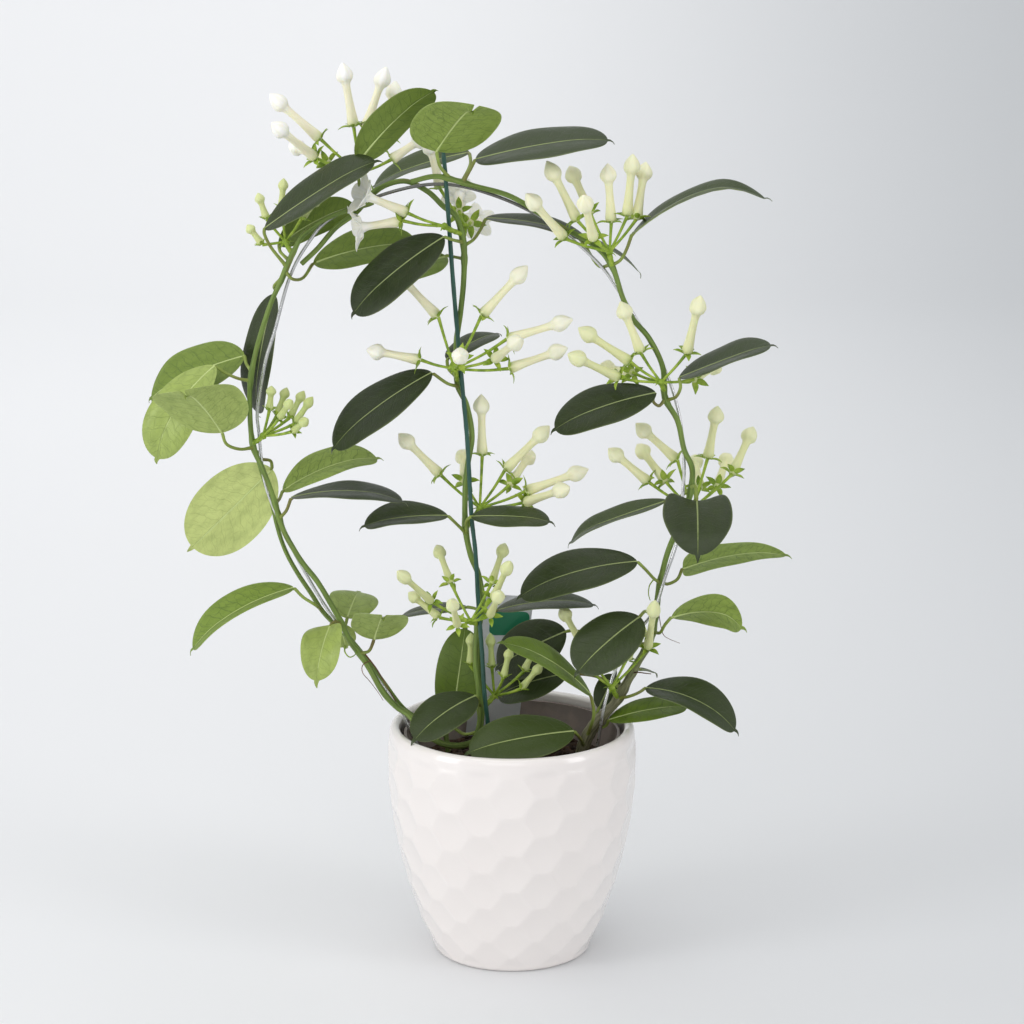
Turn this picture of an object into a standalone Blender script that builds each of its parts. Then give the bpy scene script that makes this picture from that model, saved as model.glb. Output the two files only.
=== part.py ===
"""Madagascar jasmine trained on a wire hoop, in its white cover pot.

The layout is in millimetres. The frame stands on the centre of the pot's underside, +Z up, with the
front of the plant towards -Y. The hoop lies in the plane y = 0. A place on the plant is written
(x, z, y): x and z are where it shows on the hoop's plane to an eye in front of the plant, and y is
its depth. seen_at() turns it into a point in space.
"""
import math

import bpy
from mathutils import Vector

MM = 0.001
EYE = Vector((0.0, -1942.0, 748.0))
GAP = 0.3

# The cover pot
POT_HEIGHT = 141.0
POT_FOOT_RADIUS = 45.7
POT_WIDEST_RADIUS = 74.8
POT_RIM_RADIUS = 73.0
POT_WALL = 6.0
POT_FLOOR = 9.0
POT_SIDES = 36

# The nursery pot inside it, and its soil
NURSERY_TOP = 136.0
NURSERY_TOP_RADIUS = 64.5
NURSERY_FOOT_RADIUS = 40.0
NURSERY_WALL = 1.4
SOIL_TOP = 116.0

# The stems and what they climb on
HOOP_RADIUS = 1.0
STAKE_RADIUS = 1.3
VINE_RADIUS = 1.8
VINE_SIDES = 6
FOOT_CLEARANCE = 1.2

# The leaves
BLADE_THICKNESS = 0.8
PETIOLE_RADIUS = 0.95
STALK_FOOT = 0.4
MUCRO_LENGTH = 4.0
BLADE_STATIONS = (0.0, 0.07, 0.25, 0.5, 0.76, 0.94)

# The flowers
PEDICEL_RADIUS = 0.85
PEDICEL_LENGTH = 22.0
BUD_SIDES = 4
HUB_RADIUS = 2.2

HOOP_ROUTE = (
    (-52, 117, 0), (-60, 134, 0), (-66, 147, 0), (-73, 158, 0), (-87, 178, 0), (-99, 196, 0),
    (-113, 217, 0), (-129, 247, 0), (-140, 272, 0), (-146, 292, 0), (-148.5, 319, 0), (-149, 333, 0),
    (-144, 361, 0), (-138, 380, 0), (-129, 411, 0), (-118, 431, 0), (-104, 446, 0), (-71, 460.5, 0),
    (-38.5, 465.5, 0), (-5, 457, 0), (25, 441, 0), (49.5, 420, 0), (62, 403, 0), (78.5, 376, 0),
    (90.5, 353.5, 0), (98, 328.5, 0), (101, 303, 0), (100.5, 281, 0), (98, 255, 0), (91, 232, 0),
    (84, 210, 0), (72, 195, 0), (63, 178, 0), (55, 150, 0), (50, 117, 0),
)
STAKE_ROUTE = (
    (-14, 117, -2), (-14.5, 140, -2), (-16.5, 160, -2), (-18, 187, -2), (-20, 215, -2), (-21.5, 245, -2),
    (-24, 270, -2), (-26, 310, -2), (-28, 335, -2), (-31.5, 375, -2), (-34.5, 413, -2), (-38, 466, -3),
    (-39.5, 484, -3),
)

# Each stem: its route from the soil up, and its radius there and at the end
VINES = {
    "left_vine": (
        ((-22, 129, -16), (-32, 126.5, -22), (-43, 128.5, -24), (-53, 136, -18), (-62, 146, -8),
         (-69, 151, -4.5), (-77, 160, -4.5), (-84, 173, -4.5), (-90, 183, -4), (-96, 191, -4),
         (-101, 202, -3.8), (-106, 212, -3.6), (-115, 228, -3.6), (-124, 240, -3.6), (-130, 250, -3.6),
         (-135, 260, -3.6), (-138.5, 272, -3.8), (-142, 284, -4), (-147, 298, -4), (-152, 311, -3.6),
         (-153.5, 331, -3.5), (-152.5, 352, -3.5), (-148, 372, -3.5), (-140, 396, -3.5),
         (-134, 409, -3.5), (-127, 425, -3.5), (-119.5, 437, -3.5), (-104, 447, -4), (-80, 455, -4)),
        2.0, 1.4,
    ),
    "left_shoot": (
        ((-38, 134, 10), (-52, 141, 8), (-65, 150, 5), (-76, 165, 4.2), (-87, 181, 4), (-98, 195, 4),
         (-107, 204, 3.8), (-113, 211, 3.6), (-119, 221, 3.6), (-126, 232, 3.6), (-132, 243, 3.6),
         (-136, 253, 3.6), (-139, 264, 3.6), (-142, 278, 4), (-147, 294, 4), (-150, 308, 4)),
        1.6, 1.2,
    ),
    "centre_vine": (
        ((-25, 117, 6), (-19, 140, 4), (-19.5, 160, 3), (-21.5, 180, 2.5), (-20.5, 200, 3),
         (-17.5, 215, 3), (-20, 233, 3), (-24.5, 245, 2.8), (-27.5, 262, 2.6), (-27.5, 285, 2.6),
         (-26, 300, 2.8), (-23.5, 317, 2.5), (-26.5, 335, 2.5), (-31.5, 348, 2.5), (-32.5, 371, 2.5),
         (-30, 390, 2.5), (-28, 410, 2.5), (-28, 430, 2.5), (-32, 446, 3), (-40, 453, 4), (-49, 461.5, 5),
         (-62.5, 467.3, 5), (-78, 462, 5), (-90, 449, 5), (-102, 440, 5), (-112.5, 428, 5),
         (-122, 419, 5)),
        2.2, 1.5,
    ),
    "right_vine": (
        ((40, 118, 8), (46, 134, 6), (55, 146, 5.5), (62, 154, 5.5), (68, 165, 5.5), (74, 177, 5.5),
         (82, 192, 5.5), (85.5, 210, 5), (87.5, 226, 5), (92, 246, 5), (99, 264, 5), (104, 278, 4.2),
         (106, 290, 1.5), (105.5, 299, -2), (101, 309, -4.4), (97, 326, -4.4), (89.5, 340, -4.5),
         (88, 358, -4.5), (80, 375, -4.5), (70, 387, -4), (64, 400, -4), (57.5, 418.5, -4.2),
         (46, 431, -4), (24.5, 443, -4), (0, 458, -4), (-22, 464.5, -4.5), (-30, 467, -5.5),
         (-44, 470, -6.5), (-58, 467, -5)),
        3.4, 1.5,
    ),
}

# Each leaf: the stem it grows from, its stalk from the stem, its base and tip, its width, then in degrees
# how far its upper face leans from the sky towards the eye, how far it turns to the right, and how far
# the two halves fold up, and last its arch as a part of its length
LEAVES = {
    "top_veined_leaf": ("left_vine", ((-84, 455, -4), (-88, 466, -9)), (-88, 479, -10), (-46, 520, -22),
                        26, -44, 0, 10, 0.07),
    "top_heart_leaf": ("right_vine", ((-37, 468, -6), (-41.5, 476, -8)), (-43.5, 484.5, -10),
                       (-20, 513, -66), 47, -40, 0, 0, 0.05),
    "arc_dark_leaf": ("left_vine", ((-131, 418, -4), (-139, 428, -8), (-143, 436, -9)), (-143, 440, -10),
                      (-80.5, 480, -24), 36, 26, 0, 14, 0.02),
    "arc_veined_leaf": ("left_vine", ((-129, 421, -3), (-134, 426, 6)), (-135, 430.5, 14), (-92, 454, 26),
                        28, -48, 0, 8, 0.06),
    "arc_light_leaf": ("left_vine", ((-131, 414, -3.5), (-127, 410, -5.5), (-121, 411, 6)),
                       (-115, 420, 25), (-56, 432, 40), 34, -50, 0, 8, 0.06),
    "hoop_dark_leaf": ("centre_vine", ((-28, 432, 2), (-34, 433, -8)), (-39.5, 435, -10),
                       (-92.8, 391.5, -18), 37, 30, 0, 8, 0.05),
    "crown_grey_leaf": ("right_vine", ((-28, 468, -5), (-24, 477, 10)), (-24.5, 484, 27), (-80, 466, 34),
                        30, 16, 0, 16, 0.04),
    "crown_long_leaf": ("right_vine", ((-28, 467, -5), (-24, 474, -9)), (-21, 480, -10), (54.5, 493, -16),
                        42, 16, 0, 8, 0.03),
    "crown_low_leaf": ("centre_vine", ((-27.5, 430, 3), (-22, 433.5, 8), (-18, 439.5, 13)),
                       (-15, 446, 16), (45, 434, 18), 28, 8, 0, 10, 0.05),
    "right_arched_leaf": ("right_vine", ((58, 418.5, -4), (63, 421.5, -8), (66.5, 428, -9)),
                          (69.5, 437, -9), (142, 466, -16), 28, 3, 0, 20, 0.09),
    "hanging_dark_leaf": ("left_vine", ((-133, 410, -2), (-138, 406, 3), (-137, 403, 11)),
                          (-138, 401, 17), (-151, 331, 24), 30, 88, -52, 14, 0.04),
    "far_left_dark_leaf": ("left_vine", ((-153, 356, -2), (-155, 360, 7)), (-156, 365, 12.8),
                           (-212, 341, 26), 44, 34, 0, 8, 0.05),
    "far_left_bright_leaf": ("left_vine", ((-153, 350, -3.5), (-160.5, 351.5, -5), (-168, 355, -3)),
                             (-173.5, 359, -2), (-209.5, 304, -8), 32, 34, 0, 10, 0.15),
    "far_left_heart_leaf": ("left_vine", ((-152.5, 310, -3.5), (-160, 309, -12), (-167.5, 312, -18)),
                            (-170, 319, -22), (-193, 346, -68), 50, -46, 0, 8, 0.05),
    "big_pale_leaf": ("left_shoot", ((-147, 303, 4.5), (-142, 302, 13)), (-141, 297, 18),
                      (-188.5, 250, 20), 44, -104, 0, 6, 0.04),
    "inner_veined_leaf": ("left_vine", ((-140, 276, -4), (-137, 279, 4)), (-135, 284, 13), (-80, 305, 24),
                          34, 16, 0, 18, 0.08),
    "inner_dark_leaf": ("left_vine", ((-137, 268, -3.5), (-133, 272, -9)), (-130, 280, -12),
                        (-65, 279.5, -22), 32, 5, 0, 8, 0.07),
    "low_left_long_leaf": ("left_shoot", ((-108, 214, -3), (-118, 215, -7), (-124, 219, -9)),
                           (-129.5, 225, -10), (-191, 189, -20), 35, 9, 0, 22, 0.08),
    "hanging_yellow_leaf": ("left_vine", ((-100.5, 203, -3.5), (-105, 204, -8)), (-108, 202, -10),
                            (-117, 168, -34), 27, 66, -20, 26, 0.08),
    "low_heart_leaf": ("left_vine", ((-90.5, 184, -4), (-85, 186, -8)), (-82, 193, -9), (-76, 210, -46),
                       33, -34, 0, 6, 0.05),
    "mid_dark_leaf": ("centre_vine", ((-31, 347, 2), (-38, 348.5, -6)), (-47, 355, -9),
                      (-105.5, 311.5, -18), 38, 22, 0, 8, 0.05),
    "right_dark_leaf": ("right_vine", ((90, 339, -4.5), (86, 335, -8), (82.5, 338, -9)), (84, 343, -10),
                        (25, 322.5, -18), 36, 26, 0, 8, 0.05),
    "right_grey_leaf": ("right_vine", ((90, 338, -4.5), (96, 340.5, -9), (98.5, 346, -10)),
                        (97.5, 352, -10), (150, 372.5, -16), 34, 11, 0, 14, 0.01),
    "stake_left_leaf": ("centre_vine", ((-28, 258, -1), (-33, 264, -6)), (-38, 269, -8), (-87, 264, -15),
                        30, 14, 0, 18, 0.04),
    "stake_right_leaf": ("centre_vine", ((-27, 258, -1), (-27, 265, -6)), (-24, 268.5, -8),
                         (22, 266.5, -14), 30, 11, 0, 6, 0.03),
    "inner_long_leaf": ("right_vine", ((87.5, 228, 4), (84, 230.5, -4), (79, 236, -9)), (74, 241, -10),
                        (5, 221.5, -18), 38, 24, 0, 8, 0.07),
    "shaded_dark_leaf": ("right_vine", ((80, 189, 5), (60, 194, 22), (40, 198, 28)), (32, 198, 28),
                         (-9, 176, 34), 36, 44, 0, 6, 0.05),
    "front_dark_leaf": ("right_vine", ((85, 208, 4), (80, 210, 2), (78.5, 210, -8)), (76, 207, -16),
                        (39.5, 174, -42), 36, 36, 0, 8, 0.06),
    "front_bright_leaf": ("right_vine", ((46, 134, 6), (49, 146, -10)), (47, 159, -16), (-3, 192, -42),
                          24, 26, 0, 10, 0.07),
    "rim_front_leaf": ("right_vine", ((43, 128, 7), (41, 131, -14)), (37, 136, -26), (-25, 124, -46), 34,
                       34, 0, 8, 0.04),
    "rim_left_leaf": ("centre_vine", ((-20, 152, 3), (-20.5, 156, -8)), (-22, 158, -12), (-58, 132, -42),
                      29, 30, 0, 8, 0.08),
    "stake_green_leaf": ("centre_vine", ((-20, 134, 4), (-29, 134, 9)), (-36, 139, 11), (-28, 199, 18),
                         28, 74, 0, 8, 0.05),
    "right_drooping_leaf": ("right_vine", ((64, 157, 5), (70, 157.5, -5), (76, 160, -9)), (80, 163, -10),
                            (134, 138, -24), 34, 16, 0, 18, 0.12),
    "right_twisted_leaf": ("right_vine", ((84, 198, 5), (88, 197, -4), (91, 202, -8)), (95, 207, -9),
                           (137, 205, -18), 32, -44, 0, 8, 0.12),
    "right_light_leaf": ("right_vine", ((88, 229, 5), (92, 227, 8), (98, 230, 9)), (101, 237, 9),
                         (161, 247, 14), 34, -42, 0, 8, 0.06),
    "right_heart_leaf": ("right_vine", ((103.5, 288, 4), (108, 286, -8)), (109, 278, -14),
                         (110, 246, -60), 41, 40, 0, 8, 0.08),
    "right_narrow_leaf": ("right_vine", ((105, 284, 3), (97, 279, 7)), (91, 278, 12), (33, 257, 22), 22,
                          14, 0, 20, 0.01),
}

# Small leaves that stay one piece with the stem they grow from, written the same way
STEM_LEAVES = {
    "behind_light_leaf": ("centre_vine", ((-28, 422, 2.5), (-33, 423, 9)), (-38.5, 424, 12),
                          (-66, 412, 32), 24, -50, 0, 6, 0.05),
    "behind_hoop_leaf": ("right_vine", ((57.5, 418.5, -4), (50, 418, 8), (42, 430, 27)), (36, 437, 32),
                         (74, 416, 40), 22, 4, 0, 8, 0.05),
    "behind_buds_leaf": ("centre_vine", ((-32, 352, 2.5), (-37, 357, 12)), (-38, 363, 14), (-9, 379, 40),
                         20, 8, 0, 8, 0.05),
    "short_grey_leaf": ("centre_vine", ((-19, 210, 3), (-22, 212, 10)), (-27, 213, 12), (-65, 209, 16),
                        20, 4, 0, 6, 0.03),
    "low_grey_leaf": ("centre_vine", ((-17.5, 213, 3), (-13, 208, 9)), (-9, 211, 11), (48, 216, 18), 28,
                      7, 0, 8, 0.06),
    "round_bright_leaf": ("left_shoot", ((-101.5, 198.5, 3.9), (-99, 202, 9)), (-98, 206, 12),
                          (-91, 223, 40), 30, 46, 0, 8, 0.06),
    "pale_short_leaf": ("left_shoot", ((-101.5, 198.5, 3.9), (-102, 202, 9)), (-102, 202, 13),
                        (-99, 188, 20), 15, 60, 0, 6, 0.05),
    "low_dark_leaf": ("right_vine", ((66, 162, 5.5), (50, 170, 20)), (33, 172, 26), (-9, 159, 32), 28, 34,
                      0, 6, 0.05),
    "stem_dark_leaf": ("right_vine", ((52, 143, 6), (51, 147, 11)), (52, 150, 13), (61, 171, 22), 15, 66,
                       0, 6, 0.05),
    "rim_right_leaf": ("right_vine", ((50, 139, 6), (56, 139, 5)), (58, 143, 3), (104, 152, 0), 20, 26, 0,
                       10, 0.05),
    "stub_grey_leaf": ("right_vine", ((72, 173, 5.5), (74, 174, 11)), (76, 174.5, 13), (85, 173, 20), 9,
                       4, 0, 6, 0.03),
}

# Each flower head: the stem it grows from, where its stalk leaves the stem, its hub, and its flowers.
# A flower is where its calyx shows, where its tip shows, and which way it leans: -1 towards the eye, 1 away
UMBELS = {
    "crown_left_umbel": ("centre_vine", (-80, 461, 5), (-87, 472, 10), (
        ((-110.5, 492), (-139, 517.5), 0), ((-113.5, 481), (-138, 501), -1), ((-106, 478), (-128, 489), 1),
        ((-91, 499.5), (-97, 535.5), 0), ((-84, 498), (-71.7, 533), 0), ((-72, 492), (-66.5, 525), 1),
        ((-69, 480), (-50, 493), 0))),
    "young_arc_umbel": ("left_vine", (-127, 425, -3), (-131, 432, 8), (
        ((-142, 446), (-146.5, 460.5), 0), ((-133, 452), (-131.5, 469), 0), ((-145, 431), (-153, 442), 0),
        ((-121, 446), (-111, 458), 0))),
    "open_flower_umbel": ("centre_vine", (-29.5, 437, 3), (-39, 441, -9), (
        ((-61, 449), (-87, 460), -1), ((-64, 444), (-90, 440), 0))),
    "back_flower_umbel": ("centre_vine", (-28, 434, 2.5), (-27, 441, 9), (
        ((-30.5, 450), (-30.5, 460), 1), ((-24, 443), (-20, 444), 1), ((-41.5, 463.5), (-48, 492), 0))),
    "right_shoulder_umbel": ("right_vine", (57.5, 418.5, -4), (56.5, 426, -9), (
        ((30, 434.5), (8, 460), -1), ((37.5, 445), (20, 479), 0), ((45, 449), (33, 476), 1),
        ((47, 434), (41, 459), -1), ((57.3, 444), (55, 477.5), 0), ((66.5, 447.5), (69.5, 483), 0),
        ((72, 446), (77, 478.5), 1))),
    "young_left_umbel": ("left_vine", (-152.5, 313, -3.5), (-146, 317, -9), (
        ((-142, 333), (-140.5, 347), 0), ((-137.5, 330), (-131.5, 346), 1), ((-136, 328), (-129, 338.5), -1),
        ((-130, 328.5), (-121.5, 344), 1), ((-127, 325), (-116.5, 340.5), 0),
        ((-128, 320), (-120, 327), -1))),
    "upper_centre_umbel": ("centre_vine", (-31.5, 351, 2.5), (-33.5, 357, -8), (
        ((-43.5, 388.5), (-68, 415), 0), ((-17, 389.5), (9, 418), 0), ((-54, 362.5), (-85, 368.5), 0),
        ((-31, 363), (-30, 365), -1), ((-10, 363), (5, 375), -1), ((-2, 375), (35.5, 386.5), 0),
        ((-1, 357.5), (32.5, 369.5), 0))),
    "middle_centre_umbel": ("centre_vine", (-27.5, 262, 2.6), (-19, 273.5, 7), (
        ((-42.5, 294), (-66.5, 318.5), 0), ((-17.5, 306), (-18, 342), 0), ((-28, 290), (-29, 308), 1),
        ((-3.5, 297), (22, 323), 0), ((-1, 288), (12, 308), 1), ((9, 284), (45, 297), 0),
        ((8, 277), (34, 286), -1))),
    "right_upper_umbel": ("right_vine", (89, 345, -4.5), (87, 349, -10), (
        ((68.5, 361.5), (38.5, 381.5), 0), ((62, 352), (32.5, 366), -1), ((70, 355), (52, 358), 1),
        ((75, 367), (63, 397), 0), ((102, 367), (109.5, 400.5), -1), ((106.5, 351), (121, 360), 1))),
    "right_lower_umbel": ("right_vine", (101, 270, 4), (106, 273, 12), (
        ((96.5, 303), (72.5, 324.5), 0), ((90, 290), (73.5, 312), 1), ((80, 289.5), (56.5, 309.5), 0),
        ((115, 304), (120.5, 335), 0), ((130, 295), (141.5, 322.5), 1), ((121, 287), (127, 306), 1),
        ((110.5, 286), (107, 305), 1))),
    "lower_centre_umbel": ("centre_vine", (-20, 203, 3), (-24.5, 204, -9), (
        ((-48, 216.5), (-68, 235), -1), ((-44, 207), (-61.5, 222), 0), ((-36.5, 228.5), (-44.5, 251), 1),
        ((-32.5, 202), (-36, 217), -1), ((-12, 228), (-4, 252), 1), ((-11, 219), (-1, 241), -1),
        ((-13, 208), (-7, 222), -1))),
    "base_centre_umbel": ("centre_vine", (-19.5, 150, 3.5), (-10.5, 158, 9), (
        ((-12, 176), (-13, 197), 0), ((-5, 170), (-1, 188), -1), ((7.5, 174), (15, 191), 0),
        ((6, 163), (18, 178), -1), ((-25, 178), (-24.5, 197), 0))),
    "base_right_umbel": ("right_vine", (64, 157, 5.5), (59.5, 163, -9), (
        ((68.5, 181), (78.5, 202), 0), ((81, 188), (85, 217), -1), ((45, 176), (49, 181), 0),
        ((42, 189), (29, 213), 1))),
}
YOUNG_UMBELS = ("young_arc_umbel", "young_left_umbel", "base_centre_umbel")
OPEN_FLOWERS = {"open_flower_umbel": (0, 1), "back_flower_umbel": (0, 1)}

# The label: its corners where they show, from the soil up
LABEL_CORNERS = ((-28, 132.6), (3, 132.6), (13, 219), (-17, 221))
LABEL_DEPTH = 50.0
LABEL_THICKNESS = 0.8


def seen_at(x, z, y):
    """The point at depth y that shows at (x, z) on the hoop's plane."""
    on_plane = Vector((x, 0.0, z))
    return EYE + (on_plane - EYE) * ((y - EYE.y) / -EYE.y)


def clear_scene():
    for item in list(bpy.data.objects):
        bpy.data.objects.remove(item, do_unlink=True)


def make_material(name, colour, roughness, metallic=0.0):
    material = bpy.data.materials.new(name)
    material.use_nodes = True
    shader = material.node_tree.nodes["Principled BSDF"]
    shader.inputs["Base Color"].default_value = (*colour, 1.0)
    shader.inputs["Roughness"].default_value = roughness
    shader.inputs["Metallic"].default_value = metallic
    return material


def add_solid(name, solid, material):
    """An object from points in millimetres and faces."""
    points, faces = solid
    mesh = bpy.data.meshes.new(name)
    mesh.from_pydata([point * MM for point in points], [], faces)
    mesh.validate()
    mesh.materials.append(material)
    mesh.shade_smooth()
    mesh.set_sharp_from_angle(angle=math.radians(50))
    item = bpy.data.objects.new(name, mesh)
    bpy.context.scene.collection.objects.link(item)
    return item


def smooth_route(points, pieces):
    """A Catmull-Rom curve through the points, each stretch between two of them cut into pieces."""
    ends = [points[0] * 2 - points[1], *points, points[-1] * 2 - points[-2]]
    route = []
    for a, b, c, d in zip(ends, ends[1:], ends[2:], ends[3:]):
        for step in range(pieces):
            t = step / pieces
            route.append(
                0.5 * (2 * b + (c - a) * t + (2 * a - 5 * b + 4 * c - d) * t**2
                       + (3 * b - a - 3 * c + d) * t**3)
            )
    return [*route, points[-1]]


def tangents(route):
    ahead = [*route[1:], route[-1] * 2 - route[-2]]
    behind = [route[0] * 2 - route[1], *route[:-1]]
    return [(b - a).normalized() for a, b in zip(behind, ahead)]


def carried_normals(directions, first):
    """A direction across the route, carried along it without twist."""
    normals = []
    across = first
    for direction in directions:
        across = (across - direction * across.dot(direction)).normalized()
        normals.append(across)
    return normals


def lofted(loops):
    """A closed solid through loops that have the same number of points."""
    count = len(loops[0])
    points = [point for loop in loops for point in loop]
    faces = [tuple(range(count))[::-1], tuple(range((len(loops) - 1) * count, len(loops) * count))]
    for row in range(len(loops) - 1):
        for i in range(count):
            a = row * count + i
            b = row * count + (i + 1) % count
            faces.append((a, b, b + count, a + count))
    return points, faces


def tube(route, radii, sides):
    """A round rod along the route."""
    directions = tangents(route)
    first = Vector((0.0, 1.0, 0.1)) if abs(directions[0].y) < 0.9 else Vector((1.0, 0.0, 0.1))
    loops = []
    for point, direction, across, radius in zip(route, directions, carried_normals(directions, first), radii):
        other = direction.cross(across)
        angles = [2 * math.pi * i / sides for i in range(sides)]
        loops.append([point + (across * math.cos(a) + other * math.sin(a)) * radius for a in angles])
    return lofted(loops)


def turned(profile, sides):
    """A solid turned round Z from (radius, height) points that run round its section from axis to axis."""
    inner = profile[1:-1]
    loops = []
    for radius, height in inner:
        angles = [2 * math.pi * i / sides for i in range(sides)]
        loops.append([Vector((radius * math.cos(a), radius * math.sin(a), height)) for a in angles])
    return lofted(loops)


def pot_radius(height):
    """The cover pot's outer radius: a wall that swells from the foot to just under the rim."""
    rise = min(height / 124.0, 1.0)
    swell = POT_FOOT_RADIUS + (POT_WIDEST_RADIUS - POT_FOOT_RADIUS) * math.sin(rise * math.pi / 2) ** 0.82
    below_rim = max(0.0, height - 124.0) / (POT_HEIGHT - 124.0)
    return swell - (POT_WIDEST_RADIUS - POT_RIM_RADIUS) * below_rim


def make_pot(material):
    heights = (1.5, 8.0, 20.0, 36.0, 54.0, 74.0, 94.0, 110.0, 124.0, 134.0)
    outer = [(POT_FOOT_RADIUS - 1.5, 0.0)] + [(pot_radius(z), z) for z in heights]
    lip = [(POT_RIM_RADIUS - 1.2, POT_HEIGHT - 1.0), (POT_RIM_RADIUS - 3.0, POT_HEIGHT),
           (POT_RIM_RADIUS - 4.8, POT_HEIGHT - 1.0)]
    inner = [(pot_radius(z) - POT_WALL, z) for z in reversed(heights[2:])]
    floor = [(pot_radius(12.0) - POT_WALL - 2.0, POT_FLOOR)]
    profile = [(0.0, 0.0), *outer, *lip, *inner, *floor, (0.0, POT_FLOOR)]
    return add_solid("pot", turned(profile, POT_SIDES), material)


def nursery_radius(height):
    part = (height - POT_FLOOR - GAP) / (NURSERY_TOP - POT_FLOOR - GAP)
    return NURSERY_FOOT_RADIUS + (NURSERY_TOP_RADIUS - NURSERY_FOOT_RADIUS) * part


def make_nursery_pot(material):
    foot = POT_FLOOR + GAP
    inside = foot + NURSERY_WALL
    profile = [
        (0.0, foot), (NURSERY_FOOT_RADIUS, foot), (NURSERY_TOP_RADIUS, NURSERY_TOP),
        (NURSERY_TOP_RADIUS - NURSERY_WALL, NURSERY_TOP), (nursery_radius(inside) - NURSERY_WALL, inside),
        (0.0, inside),
    ]
    return add_solid("nursery_pot", turned(profile, 28), material)


def make_soil(material):
    """The root ball. It fills the nursery pot's inside down to its floor."""
    clear = NURSERY_WALL + GAP + 0.6
    bottom = POT_FLOOR + GAP + NURSERY_WALL + GAP
    profile = [
        (0.0, bottom), (nursery_radius(bottom) - clear, bottom),
        (nursery_radius(SOIL_TOP - 2) - clear, SOIL_TOP - 2),
        (nursery_radius(SOIL_TOP) - clear - 3.0, SOIL_TOP), (0.0, SOIL_TOP),
    ]
    return add_solid("soil", turned(profile, 28), material)


def above_soil(route, clearance):
    """The route with its first point lifted to just clear the soil."""
    first = route[0].copy()
    first.z = SOIL_TOP + clearance
    return [first, *route[1:]]


def make_hoop(material):
    route = smooth_route([seen_at(*place) for place in HOOP_ROUTE], 2)
    route = above_soil(route, GAP)
    route[-1].z = SOIL_TOP + GAP
    return add_solid("wire_hoop", tube(route, [HOOP_RADIUS] * len(route), 5), material)


def make_stake(material):
    route = above_soil(smooth_route([seen_at(*place) for place in STAKE_ROUTE], 1), GAP)
    return add_solid("centre_stake", tube(route, [STAKE_RADIUS] * len(route), 6), material)


def vine_route(name):
    places, _, _ = VINES[name]
    route = smooth_route([seen_at(*place) for place in places], 2)
    return above_soil(route, GAP + FOOT_CLEARANCE)


def vine_radii(name):
    """A stem thins quickly above the soil and slowly after that."""
    places, foot, end = VINES[name]
    count = len(places) * 2 - 1
    slim = min(foot, VINE_RADIUS)
    radii = []
    for i in range(count):
        part = i / (count - 1)
        woody = max(0.0, 1.0 - part / 0.3)
        radii.append(slim + (end - slim) * part + (foot - slim) * woody)
    return radii


def beside_stem(name, point, towards, own_radius):
    """The place where a stalk meets a stem's skin: square off the stem's axis by both radii and the gap."""
    route = vine_route(name)
    radii = vine_radii(name)
    found = []
    for start, end, radius in zip(route, route[1:], radii):
        along = end - start
        part = min(max((point - start).dot(along) / along.length_squared, 0.0), 1.0)
        on_axis = start + along * part
        found.append(((on_axis - point).length, on_axis, along.normalized(), radius))
    _, on_axis, direction, radius = min(found, key=lambda row: row[0])
    outward = towards - on_axis
    outward = (outward - direction * outward.dot(direction)).normalized()
    return on_axis + outward * (radius + own_radius + GAP)


def leaf_half_width(u):
    """The outline of a blade: full at the base, oblong, blunt at the tip."""
    s = u**0.9
    return (4 * s * (1 - s)) ** 0.5 if 0 < u < 1 else 0.0


def face_normal(direction, tilt, turn):
    lean = math.radians(tilt)
    sideways = math.tan(math.radians(turn))
    facing = Vector((sideways, -math.sin(lean), math.cos(lean)))
    return (facing - direction * facing.dot(direction)).normalized()


def leaf_solid(row, starts_inside=False):
    """A stalk and its blade as one thin closed skin of six-sided loops."""
    stem, stalk, base_place, tip_place, width, tilt, turn, fold, arch = row
    base = seen_at(*base_place)
    tip = seen_at(*tip_place)
    along = tip - base
    length = along.length
    direction = along / length
    up = face_normal(direction, tilt, turn)
    stalk_points = [seen_at(*place) for place in stalk]
    if not starts_inside:
        stalk_points[0] = beside_stem(stem, stalk_points[0], stalk_points[1], PETIOLE_RADIUS * STALK_FOOT)
    blade = [base + along * u + up * (arch * length * 4 * u * (1 - u)) for u in BLADE_STATIONS]
    stalk_route = smooth_route([*stalk_points, blade[0]], 2)[:-1]
    mucro = tip + (direction - up * 0.9).normalized() * MUCRO_LENGTH
    route = [*stalk_route, *blade, mucro]
    directions = tangents(route)
    blade_start = len(stalk_route)
    blade_ups = carried_normals(directions[blade_start:], up)
    stalk_ups = carried_normals(directions[:blade_start][::-1], blade_ups[0])[::-1]
    ups = [*stalk_ups, *blade_ups]
    lift = math.sin(math.radians(fold))
    loops = []
    for i, (point, toward, normal) in enumerate(zip(route, directions, ups)):
        side = toward.cross(normal)
        if i <= blade_start:
            radius = PETIOLE_RADIUS * (STALK_FOOT if i == 0 else 1.0)
            angles = [math.radians(a) for a in (150, 90, 30, -30, -90, -150)]
            loops.append([point + (side * math.cos(a) + normal * math.sin(a)) * radius for a in angles])
            continue
        u = BLADE_STATIONS[i - blade_start] if i - blade_start < len(BLADE_STATIONS) else 1.0
        half = max(leaf_half_width(u) * width / 2, 0.35)
        thick = BLADE_THICKNESS if u < 1.0 else 0.4
        left = point - side * half * math.cos(math.radians(fold)) + normal * half * lift
        right = point + side * half * math.cos(math.radians(fold)) + normal * half * lift
        drop = normal * thick
        loops.append([left, point, right, right - drop, point - drop, left - drop])
    return lofted(loops)


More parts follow.
